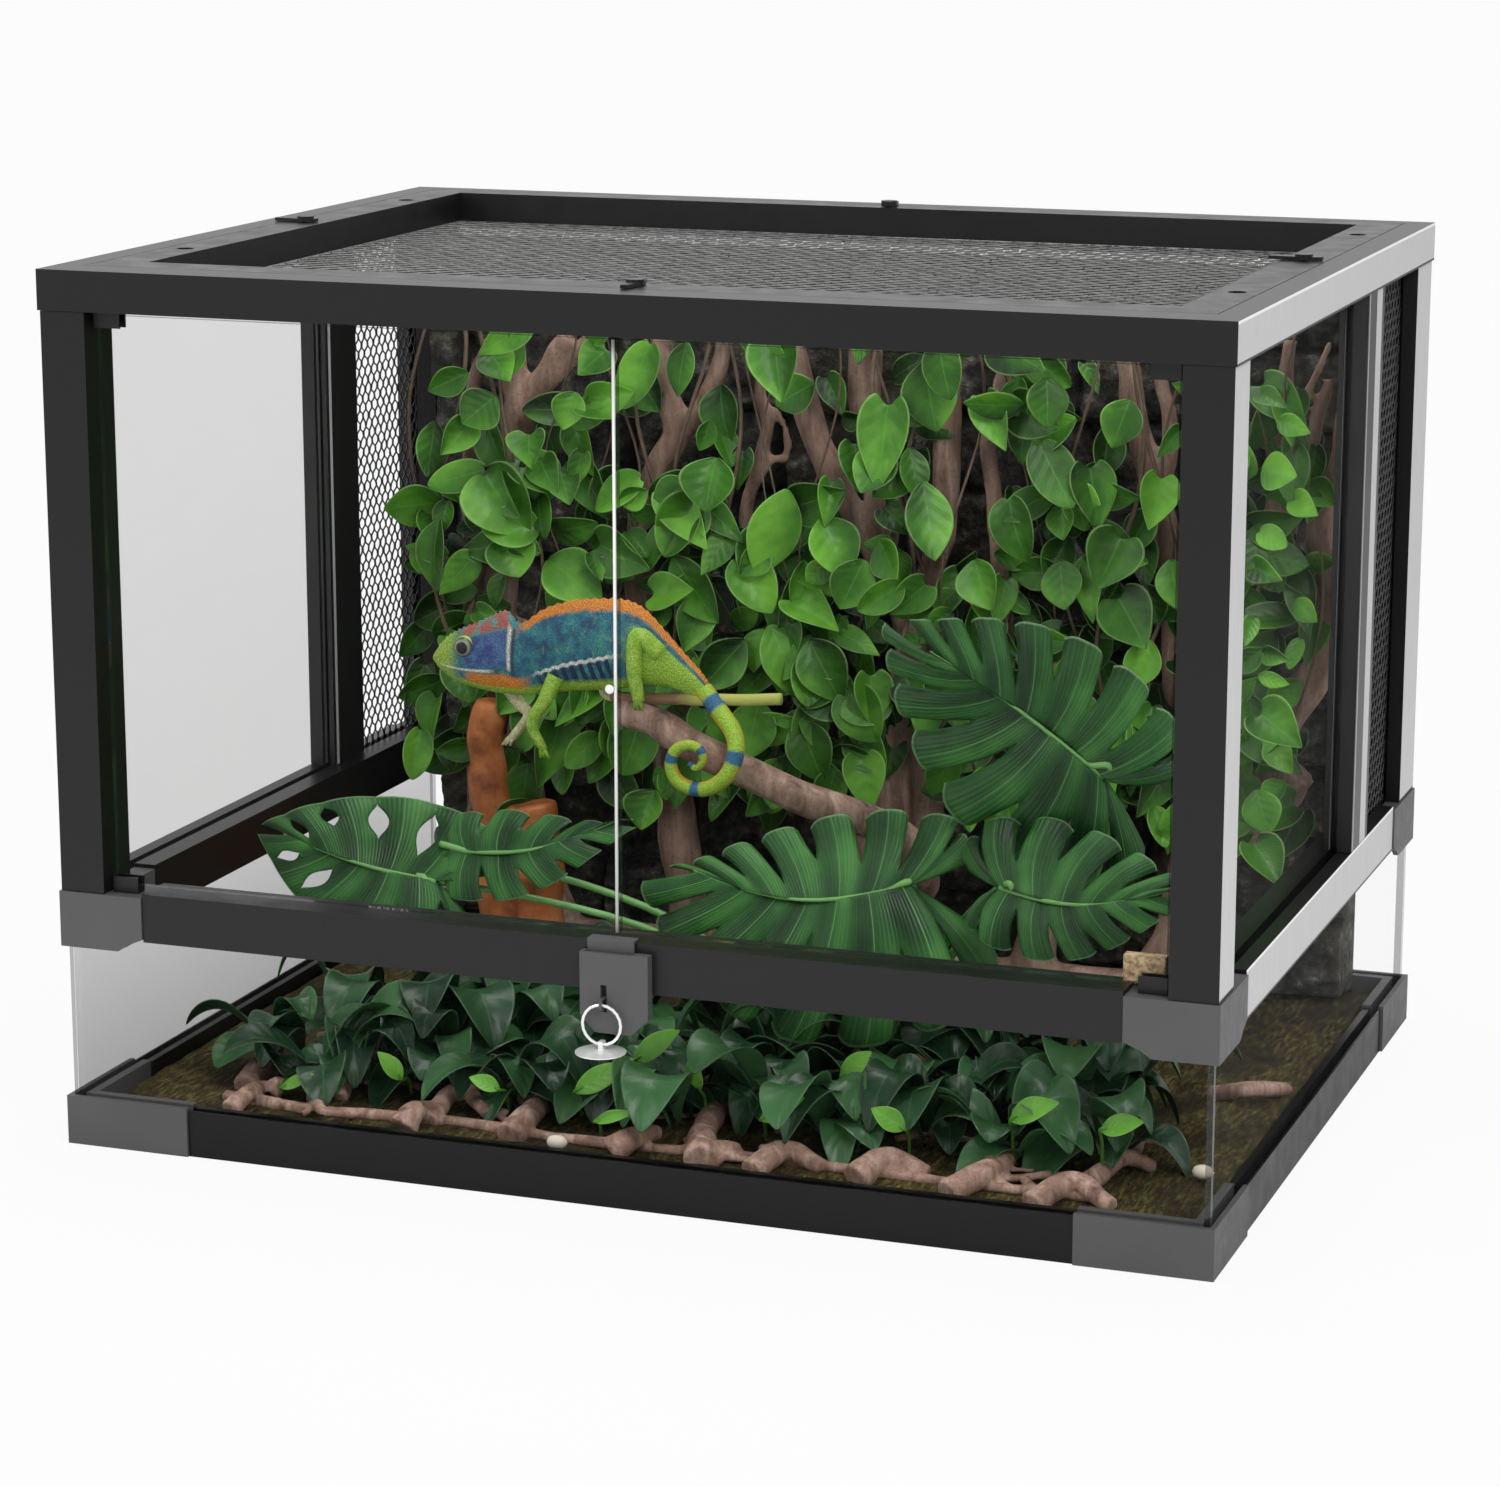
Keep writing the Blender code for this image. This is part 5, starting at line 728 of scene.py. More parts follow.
def split_leaf_plant():
    form, stalks = Form(), Form()
    for stem, tip, left, right, normal, lobes, droop, bend, holed in SPLIT_LEAVES:
        base = spot(stem[0], stem[1], stem[2] / 1000 + STAND_SHIFT)
        end = spot(tip[0], tip[1], tip[2] / 1000 + STAND_SHIFT)
        path = split_leaf(form, base, end, left / 1000, right / 1000, Vector(normal), lobes, droop, bend,
                          holed)
        stalks.tube(path, [0.0015 * (1 - 0.75 * step / SPLIT_STEPS) for step in range(len(path))])
        bow = (SPLIT_CROWN + base) / 2 + Vector((0.0, 0.020, 0.018))
        stalk = curve_through([SPLIT_CROWN, bow, base + Vector((0.0, 0.003, 0.0)), path[1]], 8)
        stalks.tube(stalk, [0.0024 - 0.0008 * step / len(stalk) for step in range(len(stalk))])
    form.make("split_leaves", split_leaf_look(), "split_leaf", "split_leaf_plant", weld=0.0002,
              thickness=0.0008)
    look = Look("leaf_stalk", (0.10, 0.26, 0.06), 0.4)
    look.clouded(60.0, 3.0, (0.06, 0.20, 0.04), (0.18, 0.40, 0.11))
    stalks.make("split_leaf_stalks", look.material, "split_leaf")


# Wood
def wood_look(name, dark, mid, pale, scale=1.0):
    """Peeled branch: long fibres, small knots, pale ridges over darker hollows."""
    look = Look(name, mid, 0.72, 0.0, 0.3)
    fibre = look.noise(95.0 * scale, 5.0, 0.6, look.stretch((1.0, 1.0, 0.22)), 0.6)
    speck = look.noise(420.0 * scale, 3.0, 0.7)
    look.color(look.over(look.ramp(fibre, (0.30, dark), (0.50, mid), (0.72, pale)),
                         (look.range(look.noise(26.0 * scale, 4.0, 0.6), 0.35, 0.65, 0.0, 0.55), mid),
                         (look.range(speck, 0.52, 0.72, 0.0, 0.45), dark)))
    look.bump(look.plus(fibre, look.times(speck, 0.35)), 0.0016, 0.8)
    return look.material


def limb(form, points, start, end, sides=12, steps=6):
    """A knobbly branch through the given points, from one radius to another."""
    path = curve_through([Vector(point) for point in points], steps)
    radii = []
    for index in range(len(path)):
        share = index / (len(path) - 1)
        lump = noise.noise(Vector((index * 0.35, start * 900, 3.0)))
        radii.append((start + (end - start) * share) * (1 + 0.20 * lump))
    for point in path:
        place = point * 45.0
        point += Vector((noise.noise(place), noise.noise(place + Vector((9, 9, 9))), 0.0)) * 0.0022
    form.tube(path, radii, sides)


# Trunks and wall limbs: radius at the start and end in millimetres, then places in the photograph's pixels
TRUNK_PLANE = 0.151
TRUNK_SHARE = 0.74
TRUNKS = (
    (13, 9, (655, 700), (640, 560), (655, 474), (676, 432), (663, 380), (660, 338)),
    (9, 7, (672, 440), (700, 410), (715, 380), (727, 338)),
    (14, 10, (930, 830), (915, 700), (905, 600), (880, 555), (840, 492), (815, 430), (792, 345)),
    (8, 4, (886, 560), (874, 500), (863, 448)),
    (11, 13, (885, 545), (874, 450), (866, 400), (868, 345)),
    (11, 10, (940, 800), (925, 620), (945, 520), (948, 420), (942, 340)),
    (13, 11, (520, 820), (500, 640), (512, 480), (520, 420), (515, 380), (508, 332)),
    (9, 8, (520, 412), (545, 372), (570, 336)),
    (6, 7, (532, 402), (565, 368), (590, 338)),
    (7, 6, (476, 800), (470, 600), (470, 470), (474, 390), (490, 340)),
    (12, 8, (1180, 760), (1176, 620), (1165, 520), (1142, 450), (1128, 370), (1120, 340)),
    (7, 5, (1160, 500), (1172, 430), (1160, 380), (1165, 340)),
    (7, 6, (1010, 700), (1000, 560), (990, 450), (1000, 400), (1010, 345)),
    (6, 5, (760, 600), (745, 520), (768, 430), (760, 390), (772, 345)),
    (4, 3, (742, 540), (748, 500), (770, 462), (788, 458), (786, 430), (775, 408)),
)
WALL_LIMB_PLANE = 0.146
WALL_LIMBS = (
    (12, 5.4, (1252, 790), (1268, 745), (1298, 700), (1326, 652), (1334, 590), (1320, 530), (1343, 450),
     (1358, 378), (1362, 328)),
    (4.5, 2.0, (1272, 520), (1276, 470), (1292, 422), (1311, 382), (1332, 340)),
    (5.0, 4.0, (1272, 520), (1284, 430), (1289, 340)),
)
# Limbs that tie the trunks together and carry them: radius at the start and end, then places, all in metres
TRUNK_FOOT = (0.015, 0.013, (0.012, 0.1516, 0.026), (0.018, 0.1516, 0.120), (0.022, 0.1516, 0.170))
POST_PLANE = 0.152
POSTS = (-0.205, -0.110, 0.120, 0.200)
# Short links between limbs, each from one (x, z) to another
LINKS = (((0.118, 0.150), (0.091, 0.186)), ((-0.204, 0.072), (-0.231, 0.102)),
         ((0.020, 0.066), (0.045, 0.108)))
LINK_RADIUS = 0.008
BED_LIMB = (0.009, 0.009, (-0.205, 0.151, 0.029), (-0.110, 0.151, 0.029), (0.024, 0.151, 0.029),
            (0.120, 0.151, 0.029), (0.208, 0.151, 0.029))
PERCH = (0.011, 0.008, (0.024, 0.1506, 0.070), (0.056, 0.1036, 0.090), (0.054, 0.0556, 0.130),
         (0.014, 0.0156, 0.156), (-0.040, 0.0076, 0.180), (-0.066, 0.0076, 0.193), (-0.084, 0.0076, 0.196))
RIGHT_LIMBS = (
    (0.012, 0.011, (0.195, 0.151, 0.105), (0.236, 0.150, 0.136), (0.252, 0.148, 0.160)),
    (0.009, 0.003, (0.204, 0.151, 0.196), (0.225, 0.151, 0.230), (0.245, 0.151, 0.300), (0.256, 0.151, 0.345),
     (0.262, 0.151, 0.372)),
)


def limbs(form, table):
    for start, end, *points in table:
        limb(form, points, start, end)


def limbs_by_pixel(form, table, y, share=1.0):
    """Limbs on the plane y, kept inside the side wall; share makes them slimmer."""
    for start, end, *places in table:
        points = [spot(px, py, y) for px, py in places]
        for point in points:
            point.x = min(point.x, WALL_REACH)
        limb(form, points, start / 1000 * share, end / 1000 * share)


def trunks():
    form = Form()
    limbs_by_pixel(form, TRUNKS, TRUNK_PLANE, TRUNK_SHARE)
    limbs(form, (TRUNK_FOOT,))
    for x in POSTS:
        limb(form, [(x * 0.85, POST_PLANE, 0.021), (x * 0.95, POST_PLANE, 0.08), (x, POST_PLANE, 0.16),
                    (x, POST_PLANE, 0.21)], 0.013, 0.010)
    for (x, z), (end_x, end_z) in LINKS:
        limb(form, [(x, TRUNK_PLANE, z), ((x + end_x) / 2, TRUNK_PLANE, (z + end_z) / 2 + 0.002),
                    (end_x, TRUNK_PLANE, end_z)], LINK_RADIUS, LINK_RADIUS)
    limbs(form, (BED_LIMB, PERCH))
    limbs_by_pixel(form, WALL_LIMBS, WALL_LIMB_PLANE)
    limbs(form, RIGHT_LIMBS)
    form.make("driftwood_branches",
              wood_look("driftwood", (0.070, 0.040, 0.028), (0.31, 0.200, 0.150), (0.60, 0.45, 0.36)),
              "wood", "driftwood", remesh=0.0022, smooth=4)


WARM_PLANE = 0.112
WARM_LIMBS = (
    (10.5, 12.0, (490, 700), (486, 748), (492, 800), (498, 850)),
    (14.0, 15.0, (533, 803), (534, 830), (538, 870)),
)
WARM_FOOT = 0.0215


def warm_trunks():
    """An orange-brown trunk and a rounded one beside it, under the lizard's head, standing on the bed."""
    form = Form()
    for start, end, *places in WARM_LIMBS:
        points = [spot(px, py, WARM_PLANE) for px, py in places]
        points.append(Vector((points[-1].x + 0.002, WARM_PLANE, WARM_FOOT)))
        limb(form, points, start / 1000, end / 1000, 18, 8)
    look = Look("warm_bark", (0.5, 0.2, 0.06), 0.55, 0.0, 0.4)
    look.color(look.ramp(look.noise(60.0, 4.0, 0.55), (0.30, (0.20, 0.065, 0.025)),
                         (0.48, (0.48, 0.15, 0.040)), (0.66, (0.62, 0.24, 0.08))))
    look.bump(look.noise(160.0, 4.0), 0.0012, 0.6)
    form.make("warm_trunks", look.material, "wood", remesh=0.0020, smooth=6)


# Roots on the bed: radius at the start and end in millimetres, then places in the photograph's pixels
ROOTS = (
    (6, 5, (246, 1086), (262, 1066), (286, 1054), (304, 1060), (318, 1058)),
    (5, 4, (232, 1108), (246, 1094), (264, 1088)), (3, 2, (311, 1098), (330, 1108), (350, 1118)),
    (4, 6, (343, 1096), (350, 1078), (361, 1062)), (7, 5, (392, 1136), (412, 1114), (434, 1106)),
    (5, 4, (432, 1118), (446, 1098), (466, 1094), (484, 1104), (490, 1118)),
    (7, 6, (506, 1140), (528, 1114), (556, 1098)), (7, 5, (600, 1162), (630, 1140), (660, 1130)),
    (8, 6, (694, 1168), (704, 1130), (732, 1096)), (6, 5, (752, 1172), (782, 1152), (822, 1166)),
    (7, 5, (852, 1182), (884, 1160), (930, 1172)), (6, 7, (948, 1192), (986, 1172), (1012, 1148)),
    (6, 5, (1030, 1204), (1070, 1184), (1112, 1206)), (5, 4, (1090, 1180), (1120, 1160), (1150, 1168)),
    (4, 5, (1212, 1092), (1252, 1088), (1296, 1094)),
)
PEBBLES = ((557, 1142), (1203, 1172))
ROOT_SHARE = 1.12
ROOT_LEVEL = 0.0205
# The long fine root that the others lie on, as places in x and y
FRONT_ROOT = ((-0.232, -0.186), (-0.172, -0.192), (-0.105, -0.186), (-0.020, -0.192), (0.060, -0.186),
              (0.150, -0.190), (0.240, -0.188))
FINE_ROOTS = 20
PANE_GAP = 0.008
PEBBLE_HALF_LENGTH = 0.0055
PEBBLE_RADIUS = 0.0034


def floor_spot(px, py, z):
    """The point at height z that the photograph shows at pixel (px, py), kept inside the panes."""
    near, far = spot(px, py, -0.2), spot(px, py, 0.0)
    point = near + (far - near) * ((z - near.z) / (far.z - near.z))
    low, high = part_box("moss_bed")
    point.x = min(max(point.x, low.x + PANE_GAP), high.x - PANE_GAP)
    point.y = max(point.y, low.y + PANE_GAP)
    return point


def twisted_roots():
    """Short gnarled roots in a loose row along the front, with fine ones between them."""
    rng = random.Random(5)
    form = Form()
    limb(form, [(x, y + STAND_SHIFT, ROOT_LEVEL) for x, y in FRONT_ROOT], 0.0034, 0.0026, 10, 9)
    for start, end, *places in ROOTS:
        points = []
        for index, (px, py) in enumerate(places):
            z = ROOT_LEVEL + (0.006 if 0 < index < len(places) - 1 else 0.0)
            points.append(floor_spot(px, py, z) + Vector((0.0, 0.005 * math.sin(index * 1.9 + start), 0.0)))
        limb(form, points, start / 1000 * ROOT_SHARE, end / 1000 * ROOT_SHARE * 0.75, 12, 7)
    for index in range(FINE_ROOTS):
        x = -0.235 + 0.47 * rng.random()
        y = -0.188 + 0.075 * rng.random()
        turn = rng.uniform(0.3, 2.9)
        length = rng.uniform(0.014, 0.040)
        rise = 0.006 if index % 3 == 0 else 0.002
        points = [(x + length * share * math.cos(turn) + 0.005 * math.sin(share * 7 + index),
                   y + length * share * math.sin(turn), ROOT_LEVEL + rise * math.sin(share * 3.1))
                  for share in (0.0, 0.25, 0.5, 0.75, 1.0)]
        size = rng.uniform(0.0016, 0.0034)
        limb(form, points, size, size * 0.7, 9, 5)
    form.make("twisted_roots",
              wood_look("root_wood", (0.10, 0.050, 0.038), (0.33, 0.205, 0.155), (0.64, 0.48, 0.39), 1.4),
              "root", "floor_roots", remesh=0.0013, smooth=2)


def pale_pebbles():
    pebbles = Form()
    for px, py in PEBBLES:
        middle = floor_spot(px, py, ROOT_LEVEL + 0.003)
        pebbles.tube([middle + Vector((-PEBBLE_HALF_LENGTH + 2 * PEBBLE_HALF_LENGTH * step / 10, 0.0, 0.0))
                      for step in range(11)],
                     [PEBBLE_RADIUS * math.sqrt(max(0.0, 1 - (step / 5 - 1) ** 2)) + 0.0002
                      for step in range(11)], 14)
    pebbles.make("pale_pebbles", plain_look("pale_stone", (0.78, 0.70, 0.58), 0.6, grain=300.0), "root")


# Rock wall and bed
ROCK_COLUMNS, ROCK_ROWS = 190, 150
ROCK_COURSES = 9
STONES_PER_COURSE = 6.0
MOSS_COLUMNS, MOSS_ROWS = 200, 150


def rock_point(low, high, u, v, at_edge):
    """A point of the rock face with its stone, seam and roughness, from its shares across and up."""
    x, z = low.x + (high.x - low.x) * u, low.z + (high.z - low.z) * v
    height = v * ROCK_COURSES + 0.25 * noise.noise(Vector((x * 9, 0, z * 3)))
    course = math.floor(height)
    shift = noise.noise(Vector((course * 3.7, 1.3, 0.0))) * 0.3
    across = (u + shift) * STONES_PER_COURSE
    stone = noise.cell(Vector((math.floor(across), course * 2.1, 5.0)))
    seam = max(0.0, max(abs(height % 1.0 - 0.5) * 2, abs(across % 1.0 - 0.5) * 2) - 0.86) / 0.14
    rough = noise.fractal(Vector((x * 55, 0.0, z * 75)), 1.0, 2.0, 5)
    depth = max(0.002, min(0.020 + 0.010 * stone + 0.0045 * rough - 0.010 * seam, high.y - low.y))
    return Vector((x, high.y - (0.001 if at_edge else depth), z)), (stone, seam, rough)


def rock_wall():
    low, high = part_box("rock_background")
    form = Form()
    form.grid([[rock_point(low, high, column / ROCK_COLUMNS, line / ROCK_ROWS,
                           column in (0, ROCK_COLUMNS) or line in (0, ROCK_ROWS))
                for column in range(ROCK_COLUMNS + 1)] for line in range(ROCK_ROWS + 1)])
    form.grid([[(Vector((x, high.y, z)), UNMARKED) for z in (low.z, high.z)] for x in (low.x, high.x)])
    look = Look("dark_stone", (0.03, 0.028, 0.024), 0.62, 0.0, 0.4)
    _, seam, rough = look.marks()
    fine = look.noise(160.0, 6.0, 0.7)
    face = look.ramp(look.plus(look.times(fine, 0.90), look.times(rough, 0.24)), (0.28, 0.004),
                     (0.44, (0.026, 0.024, 0.020)), (0.58, (0.090, 0.080, 0.066)), (0.74, (0.34, 0.32, 0.30)))
    look.color(look.over(
        face, (look.range(look.noise(18.0, 4.0, 0.6), 0.52, 0.70, 0.0, 0.6), (0.040, 0.034, 0.012)),
        (look.range(seam, 0.2, 0.8, 0.0, 0.9), 0.003)))
    look.roughness(look.range(fine, 0.3, 0.7, 0.75, 0.35))
    look.bump(fine, 0.004, 0.9)
    form.make("rock_wall", look.material, "rock", "rock_background")


def moss_floor():
    low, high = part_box("moss_bed")
    grid = []
    for line in range(MOSS_ROWS + 1):
        row = []
        for column in range(MOSS_COLUMNS + 1):
            x = low.x + (high.x - low.x) * column / MOSS_COLUMNS
            y = low.y + (high.y - low.y) * line / MOSS_ROWS
            tuft = noise.fractal(Vector((x * 70, y * 70, 0.0)), 1.0, 2.0, 4)
            at_edge = column in (0, MOSS_COLUMNS) or line in (0, MOSS_ROWS)
            z = high.z - 0.0010 + 0.0009 * tuft - (0.0020 if at_edge else 0.0)
            row.append((Vector((x, y, min(z, high.z + 0.0002))), UNMARKED))
        grid.append(row)
    form = Form()
    form.grid(grid)
    form.grid([[(Vector((x, y, low.z)), UNMARKED) for y in (low.y, high.y)] for x in (low.x, high.x)])
    look = Look("olive_moss", (0.06, 0.05, 0.015), 0.85, 0.0, 0.2)
    fibre = look.noise(420.0, 5.0, 0.75, look.stretch((1.0, 0.22, 1.0), 0.5))
    patch = look.noise(30.0, 5.0, 0.65, look.stretch((1.0, 0.5, 1.0), 0.5))
    mat = look.ramp(fibre, (0.34, (0.006, 0.005, 0.002)), (0.50, (0.050, 0.038, 0.009)),
                    (0.66, (0.175, 0.145, 0.040)))
    look.color(look.mix(look.range(patch, 0.46, 0.60, 0.0, 0.75), mat, (0.014, 0.010, 0.004)))
    look.bump(look.plus(fibre, patch), 0.0022, 0.9)
    form.make("moss_mat", look.material, "moss", "moss_bed")


# Floor plants
BLADE_ROWS = ((0.0, 0.08), (0.12, 0.15), (0.25, 0.48), (0.40, 0.84), (0.55, 1.0), (0.70, 0.96), (0.84, 0.74),
              (0.94, 0.42), (1.0, 0.05))
PLANT_FOOT = 0.021
TUFT_LEAVES = 9
# The front pane's inner face, which no leaf passes
FRONT_REACH = -0.200
# Tufts in three rows: place in x and y, and how large
TUFTS = ([(-0.222 + 0.0444 * index, -0.116 - 0.022 * (index % 2), 0.92) for index in range(11)]
         + [(-0.200 + 0.050 * index, -0.070 - 0.012 * (index % 2), 1.12) for index in range(9)]
         + [(-0.120 + 0.060 * index, -0.025, 1.20) for index in range(6)])
# Small bright leaves low at the front: stalk x, y, tip x, y and width in the photograph's pixels, and depth y
# in millimetres
SMALL_LEAVES = (
    (634, 1062, 672, 1030, 26, -150), (574, 1092, 622, 1064, 26, -165), (594, 1122, 632, 1112, 14, -190),
    (280, 1088, 314, 1074, 16, -170), (500, 1090, 470, 1076, 18, -170), (760, 1120, 800, 1096, 26, -170),
    (905, 1130, 872, 1108, 24, -170), (1010, 1120, 1052, 1100, 28, -165), (1100, 1130, 1140, 1120, 24, -165),
    (402, 1080, 380, 1052, 20, -160), (700, 1090, 690, 1056, 22, -155), (840, 1080, 868, 1052, 24, -150),
)


def arching_leaf(form, root, out, length, width, rise, sag, tint, lean):
    """A paddle leaf that rises from its root, arches over and hangs at its tip."""
    side = Vector((-out.y, out.x, lean)).normalized()
    points = [root + out * (length * share) + Vector((0, 0, rise * math.sin(share * 2.2) - sag * share ** 3))
              for share, reach in BLADE_ROWS]
    grid = []
    for index, (share, reach) in enumerate(BLADE_ROWS):
        ahead = points[min(index + 1, len(points) - 1)] - points[max(index - 1, 0)]
        lift = side.cross(ahead).normalized()
        lift = lift if lift.z > 0 else -lift
        half = width / 2 * reach
        grid.append([(points[index] + side * (half * s) + lift * (0.35 * half * abs(s) ** 1.4),
                      (s, share, tint)) for s in LEAF_COLUMNS])
    form.grid(grid)


def floor_plants():
    """Tufts of broad dark leaves on the bed, in three rows, with small bright leaves before them."""
    rng = random.Random(11)
    form = Form()
    for x, y, size in TUFTS:
        for leaf in range(TUFT_LEAVES):
            angle = math.radians(-90 + rng.uniform(-120, 120))
            out = Vector((math.cos(angle), math.sin(angle), 0.0))
            length = rng.uniform(0.028, 0.062) * size
            root = Vector((x + rng.uniform(-0.012, 0.012), y + rng.uniform(-0.010, 0.010), PLANT_FOOT))
            if root.y + out.y * length < FRONT_REACH:
                length *= max(0.45, (FRONT_REACH - root.y) / (out.y * length))
            arching_leaf(form, root, out, length, (0.010 + 0.38 * length) * rng.uniform(0.8, 1.15),
                         rng.uniform(0.016, 0.056) * size, rng.uniform(0.000, 0.026), rng.uniform(0.0, 1.0),
                         rng.uniform(-0.5, 0.5))
    green = leaf_look("floor_leaf", (0.006, 0.024, 0.009), (0.016, 0.062, 0.021), (0.042, 0.130, 0.040),
                      (0.13, 0.22, 0.12), (0.06, 0.15, 0.07), 0.34, 9.0, 0.16, 0.50)
    form.make("floor_leaves", green, "floor_leaf", "floor_plants", thickness=0.0007, subdivide=1)
    small = Form()
    for stalk_x, stalk_y, tip_x, tip_y, width, depth in SMALL_LEAVES:
        y = depth / 1000
        base, tip = spot(stalk_x, stalk_y, y), spot(tip_x, tip_y, y - 0.006)
        heart_leaf(small, base, tip, width * 0.0005, Vector((rng.uniform(-0.3, 0.5), -0.8, 0.6)),
                   rng.uniform(0.6, 1.0), rng.uniform(0.1, 0.5), rng.uniform(0.0, 0.2), (OVAL_ROWS, 0.0),
                   rng.uniform(-0.2, 0.2))
        foot = Vector((base.x - 0.004, min(y + 0.020, -0.120), PLANT_FOOT))
        bow = (foot + base) / 2 + Vector((0.0, 0.002, 0.004))
        stalk = curve_through([foot, bow, base, base + (tip - base) * 0.2], 5)
        small.tube(stalk, [0.0007] * len(stalk), 6, 0.4)
    green = leaf_look("small_leaf", (0.020, 0.080, 0.008), (0.085, 0.270, 0.022), (0.170, 0.450, 0.050),
                      (0.34, 0.56, 0.18), (0.16, 0.42, 0.08), 0.38, 6.0, 0.10, 0.35)
    small.make("small_leaves", green, "floor_leaf", thickness=0.0005, subdivide=1)


# Lizard
# Sections of its body by the photograph's pixels (x, top, bottom), with half its thickness in millimetres
LIZARD_PLANE = 0.0076
LIZARD_SECTIONS = (
    (434, 654, 660, 1.4), (439, 647, 667, 2.8), (449, 637, 676, 4.6), (462, 630, 683, 6.0),
    (478, 624, 688, 7.2), (494, 617, 692, 7.8), (508, 613, 694, 7.2), (522, 625, 695, 6.6),
    (545, 611, 694, 8.2), (572, 603, 691, 9.8), (600, 601, 690, 10.6), (625, 602, 688, 10.2),
    (645, 611, 685, 8.8), (665, 632, 686, 6.8), (685, 655, 693, 5.2), (702, 674, 702, 4.2),
    (711, 688, 710, 3.4),
)
LIZARD_SIDES = 36
LIZARD_TAIL = ((704, 690), (720, 712), (733, 732), (736, 752), (728, 774), (712, 787), (694, 789), (678, 781),
               (671, 766), (675, 751), (688, 745), (700, 750), (703, 761), (696, 768), (689, 763))
LIME = (0.40, 0.66, 0.05)
CREAM_WHITE = (0.92, 0.92, 0.86)
# Legs as (pixel x, pixel y, depth in millimetres) places, then radii in millimetres
NEAR_LEGS = (
    (((556, 676, -6), (545, 700, -9), (532, 724, -8), (544, 750, -6)), (4.8, 4.0, 3.2, 2.3)),
    (((660, 654, -5), (638, 636, -9), (634, 668, -10), (639, 701, -7)), (5.0, 4.8, 4.2, 3.2)),
)
FAR_LEGS = (
    (((508, 688, 5), (520, 704, 7), (528, 716, 6), (512, 738, 4)), (3.8, 3.4, 2.8, 2.4)),
    (((622, 660, 7), (604, 690, 9), (622, 702, 5)), (4.6, 3.0, 1.8)),
)
EYE = (468, 645)
# Distance out and radius of each ring of an eye, in millimetres
EYE_RINGS = ((3.0, 6.0), (5.2, 5.9), (6.9, 5.2), (8.2, 3.9), (9.0, 2.2))
TWIG = ((612, 697), (650, 699), (697, 699), (740, 700), (781, 699))


def band(look, value, low, high, soft=0.02):
    """1 where a value lies between two limits, with soft ends."""
    rise = look.range(value, low - soft, low + soft)
    return look.times(rise, look.range(value, high - soft, high + soft, 1.0, 0.0))


def beaded(look, skin, size, low, share, joint, depth):
    """Beads in a skin's colour, darker in the joints between them."""
    beads = look.cells(size)
    look.color(look.mix(look.range(beads, low, 0.6, 0.0, share), skin, joint))
    look.bump(look.minus(1.0, beads), depth, 0.8)
    return look.material


def lizard_skin_look():
    """Beaded skin: teal flank, navy bars under a white scalloped line, lime belly and rump, orange ridge."""
    look = Look("lizard_skin", (0.03, 0.25, 0.28), 0.45, 0.0, 0.4)
    height, along, _ = look.marks()
    orange = (0.86, 0.29, 0.02)
    cloud = look.noise(150.0, 3.0)
    streak = look.noise(260.0, 3.0, 0.6, look.stretch((1.0, 1.0, 0.25)))

    def patch(low, high, bottom, top, soft_along=0.02, soft_up=0.02):
        """A zone between two shares of the body's length and two of its height."""
        return look.times(band(look, along, low, high, soft_along), band(look, height, bottom, top, soft_up))

    scallop = look.size(look.math("SINE", look.times(along, 150.0)))
    slope = look.times(look.minus(along, 0.5), 0.68)
    level = look.minus(look.minus(height, slope), look.times(scallop, 0.020))
    front = band(look, along, 0.49, 0.68)
    bars = look.math("SINE", look.plus(look.times(along, 300.0), look.times(height, 16.0)))
    under = look.times(look.range(level, 0.26, 0.24), front)
    edge = look.plus(height, look.times(streak, 0.08))
    flank = look.ramp(cloud, (0.34, (0.012, 0.075, 0.17)), (0.52, (0.02, 0.19, 0.27)),
                      (0.74, (0.07, 0.36, 0.30)))
    skin = look.over(
        flank,
        (look.range(streak, 0.58, 0.72, 0.0, 0.55), (0.32, 0.52, 0.14)),
        (look.times(under, look.range(bars, -0.3, 0.1)), (0.006, 0.014, 0.080)),
        (look.range(height, 0.16, 0.10), LIME),
        (look.times(band(look, level, 0.258, 0.300, 0.008), front), CREAM_WHITE),
        (look.times(look.range(edge, 0.92, 0.97), look.range(along, 0.42, 0.46)), orange),
        (look.times(look.range(along, 0.70, 0.76), look.range(edge, 0.86, 0.80)), LIME),
        # The head: throat, muzzle, cheek, cap, pale rim, dark groove and mouth
        (patch(0.22, 0.46, 0.10, 0.27), orange),
        (look.range(along, 0.20, 0.14), (0.38, 0.58, 0.06)),
        (patch(0.21, 0.395, 0.36, 0.80),
         look.mix(look.range(cloud, 0.4, 0.6), (0.05, 0.06, 0.30), (0.09, 0.20, 0.42))),
        (look.times(band(look, along, 0.19, 0.42), look.range(height, 0.80, 0.86)),
         look.mix(look.range(cloud, 0.42, 0.58), (0.05, 0.42, 0.38), (0.50, 0.13, 0.10))),
        (patch(0.392, 0.408, 0.34, 0.90, 0.005), (0.85, 0.84, 0.74)),
        (patch(0.412, 0.424, 0.30, 0.92, 0.005), (0.02, 0.03, 0.05)),
        (patch(0.10, 0.32, 0.29, 0.33, 0.02, 0.01), CREAM_WHITE),
    )
    return beaded(look, skin, 1100.0, 0.25, 0.45, (0.01, 0.03, 0.03), 0.0006)


def limb_skin_look(name, first, second, joint):
    look = Look(name, first, 0.5, 0.0, 0.4)
    skin = look.mix(look.range(look.noise(220.0, 3.0), 0.4, 0.6), first, second)
    return beaded(look, skin, 1200.0, 0.3, 0.5, joint, 0.0005)


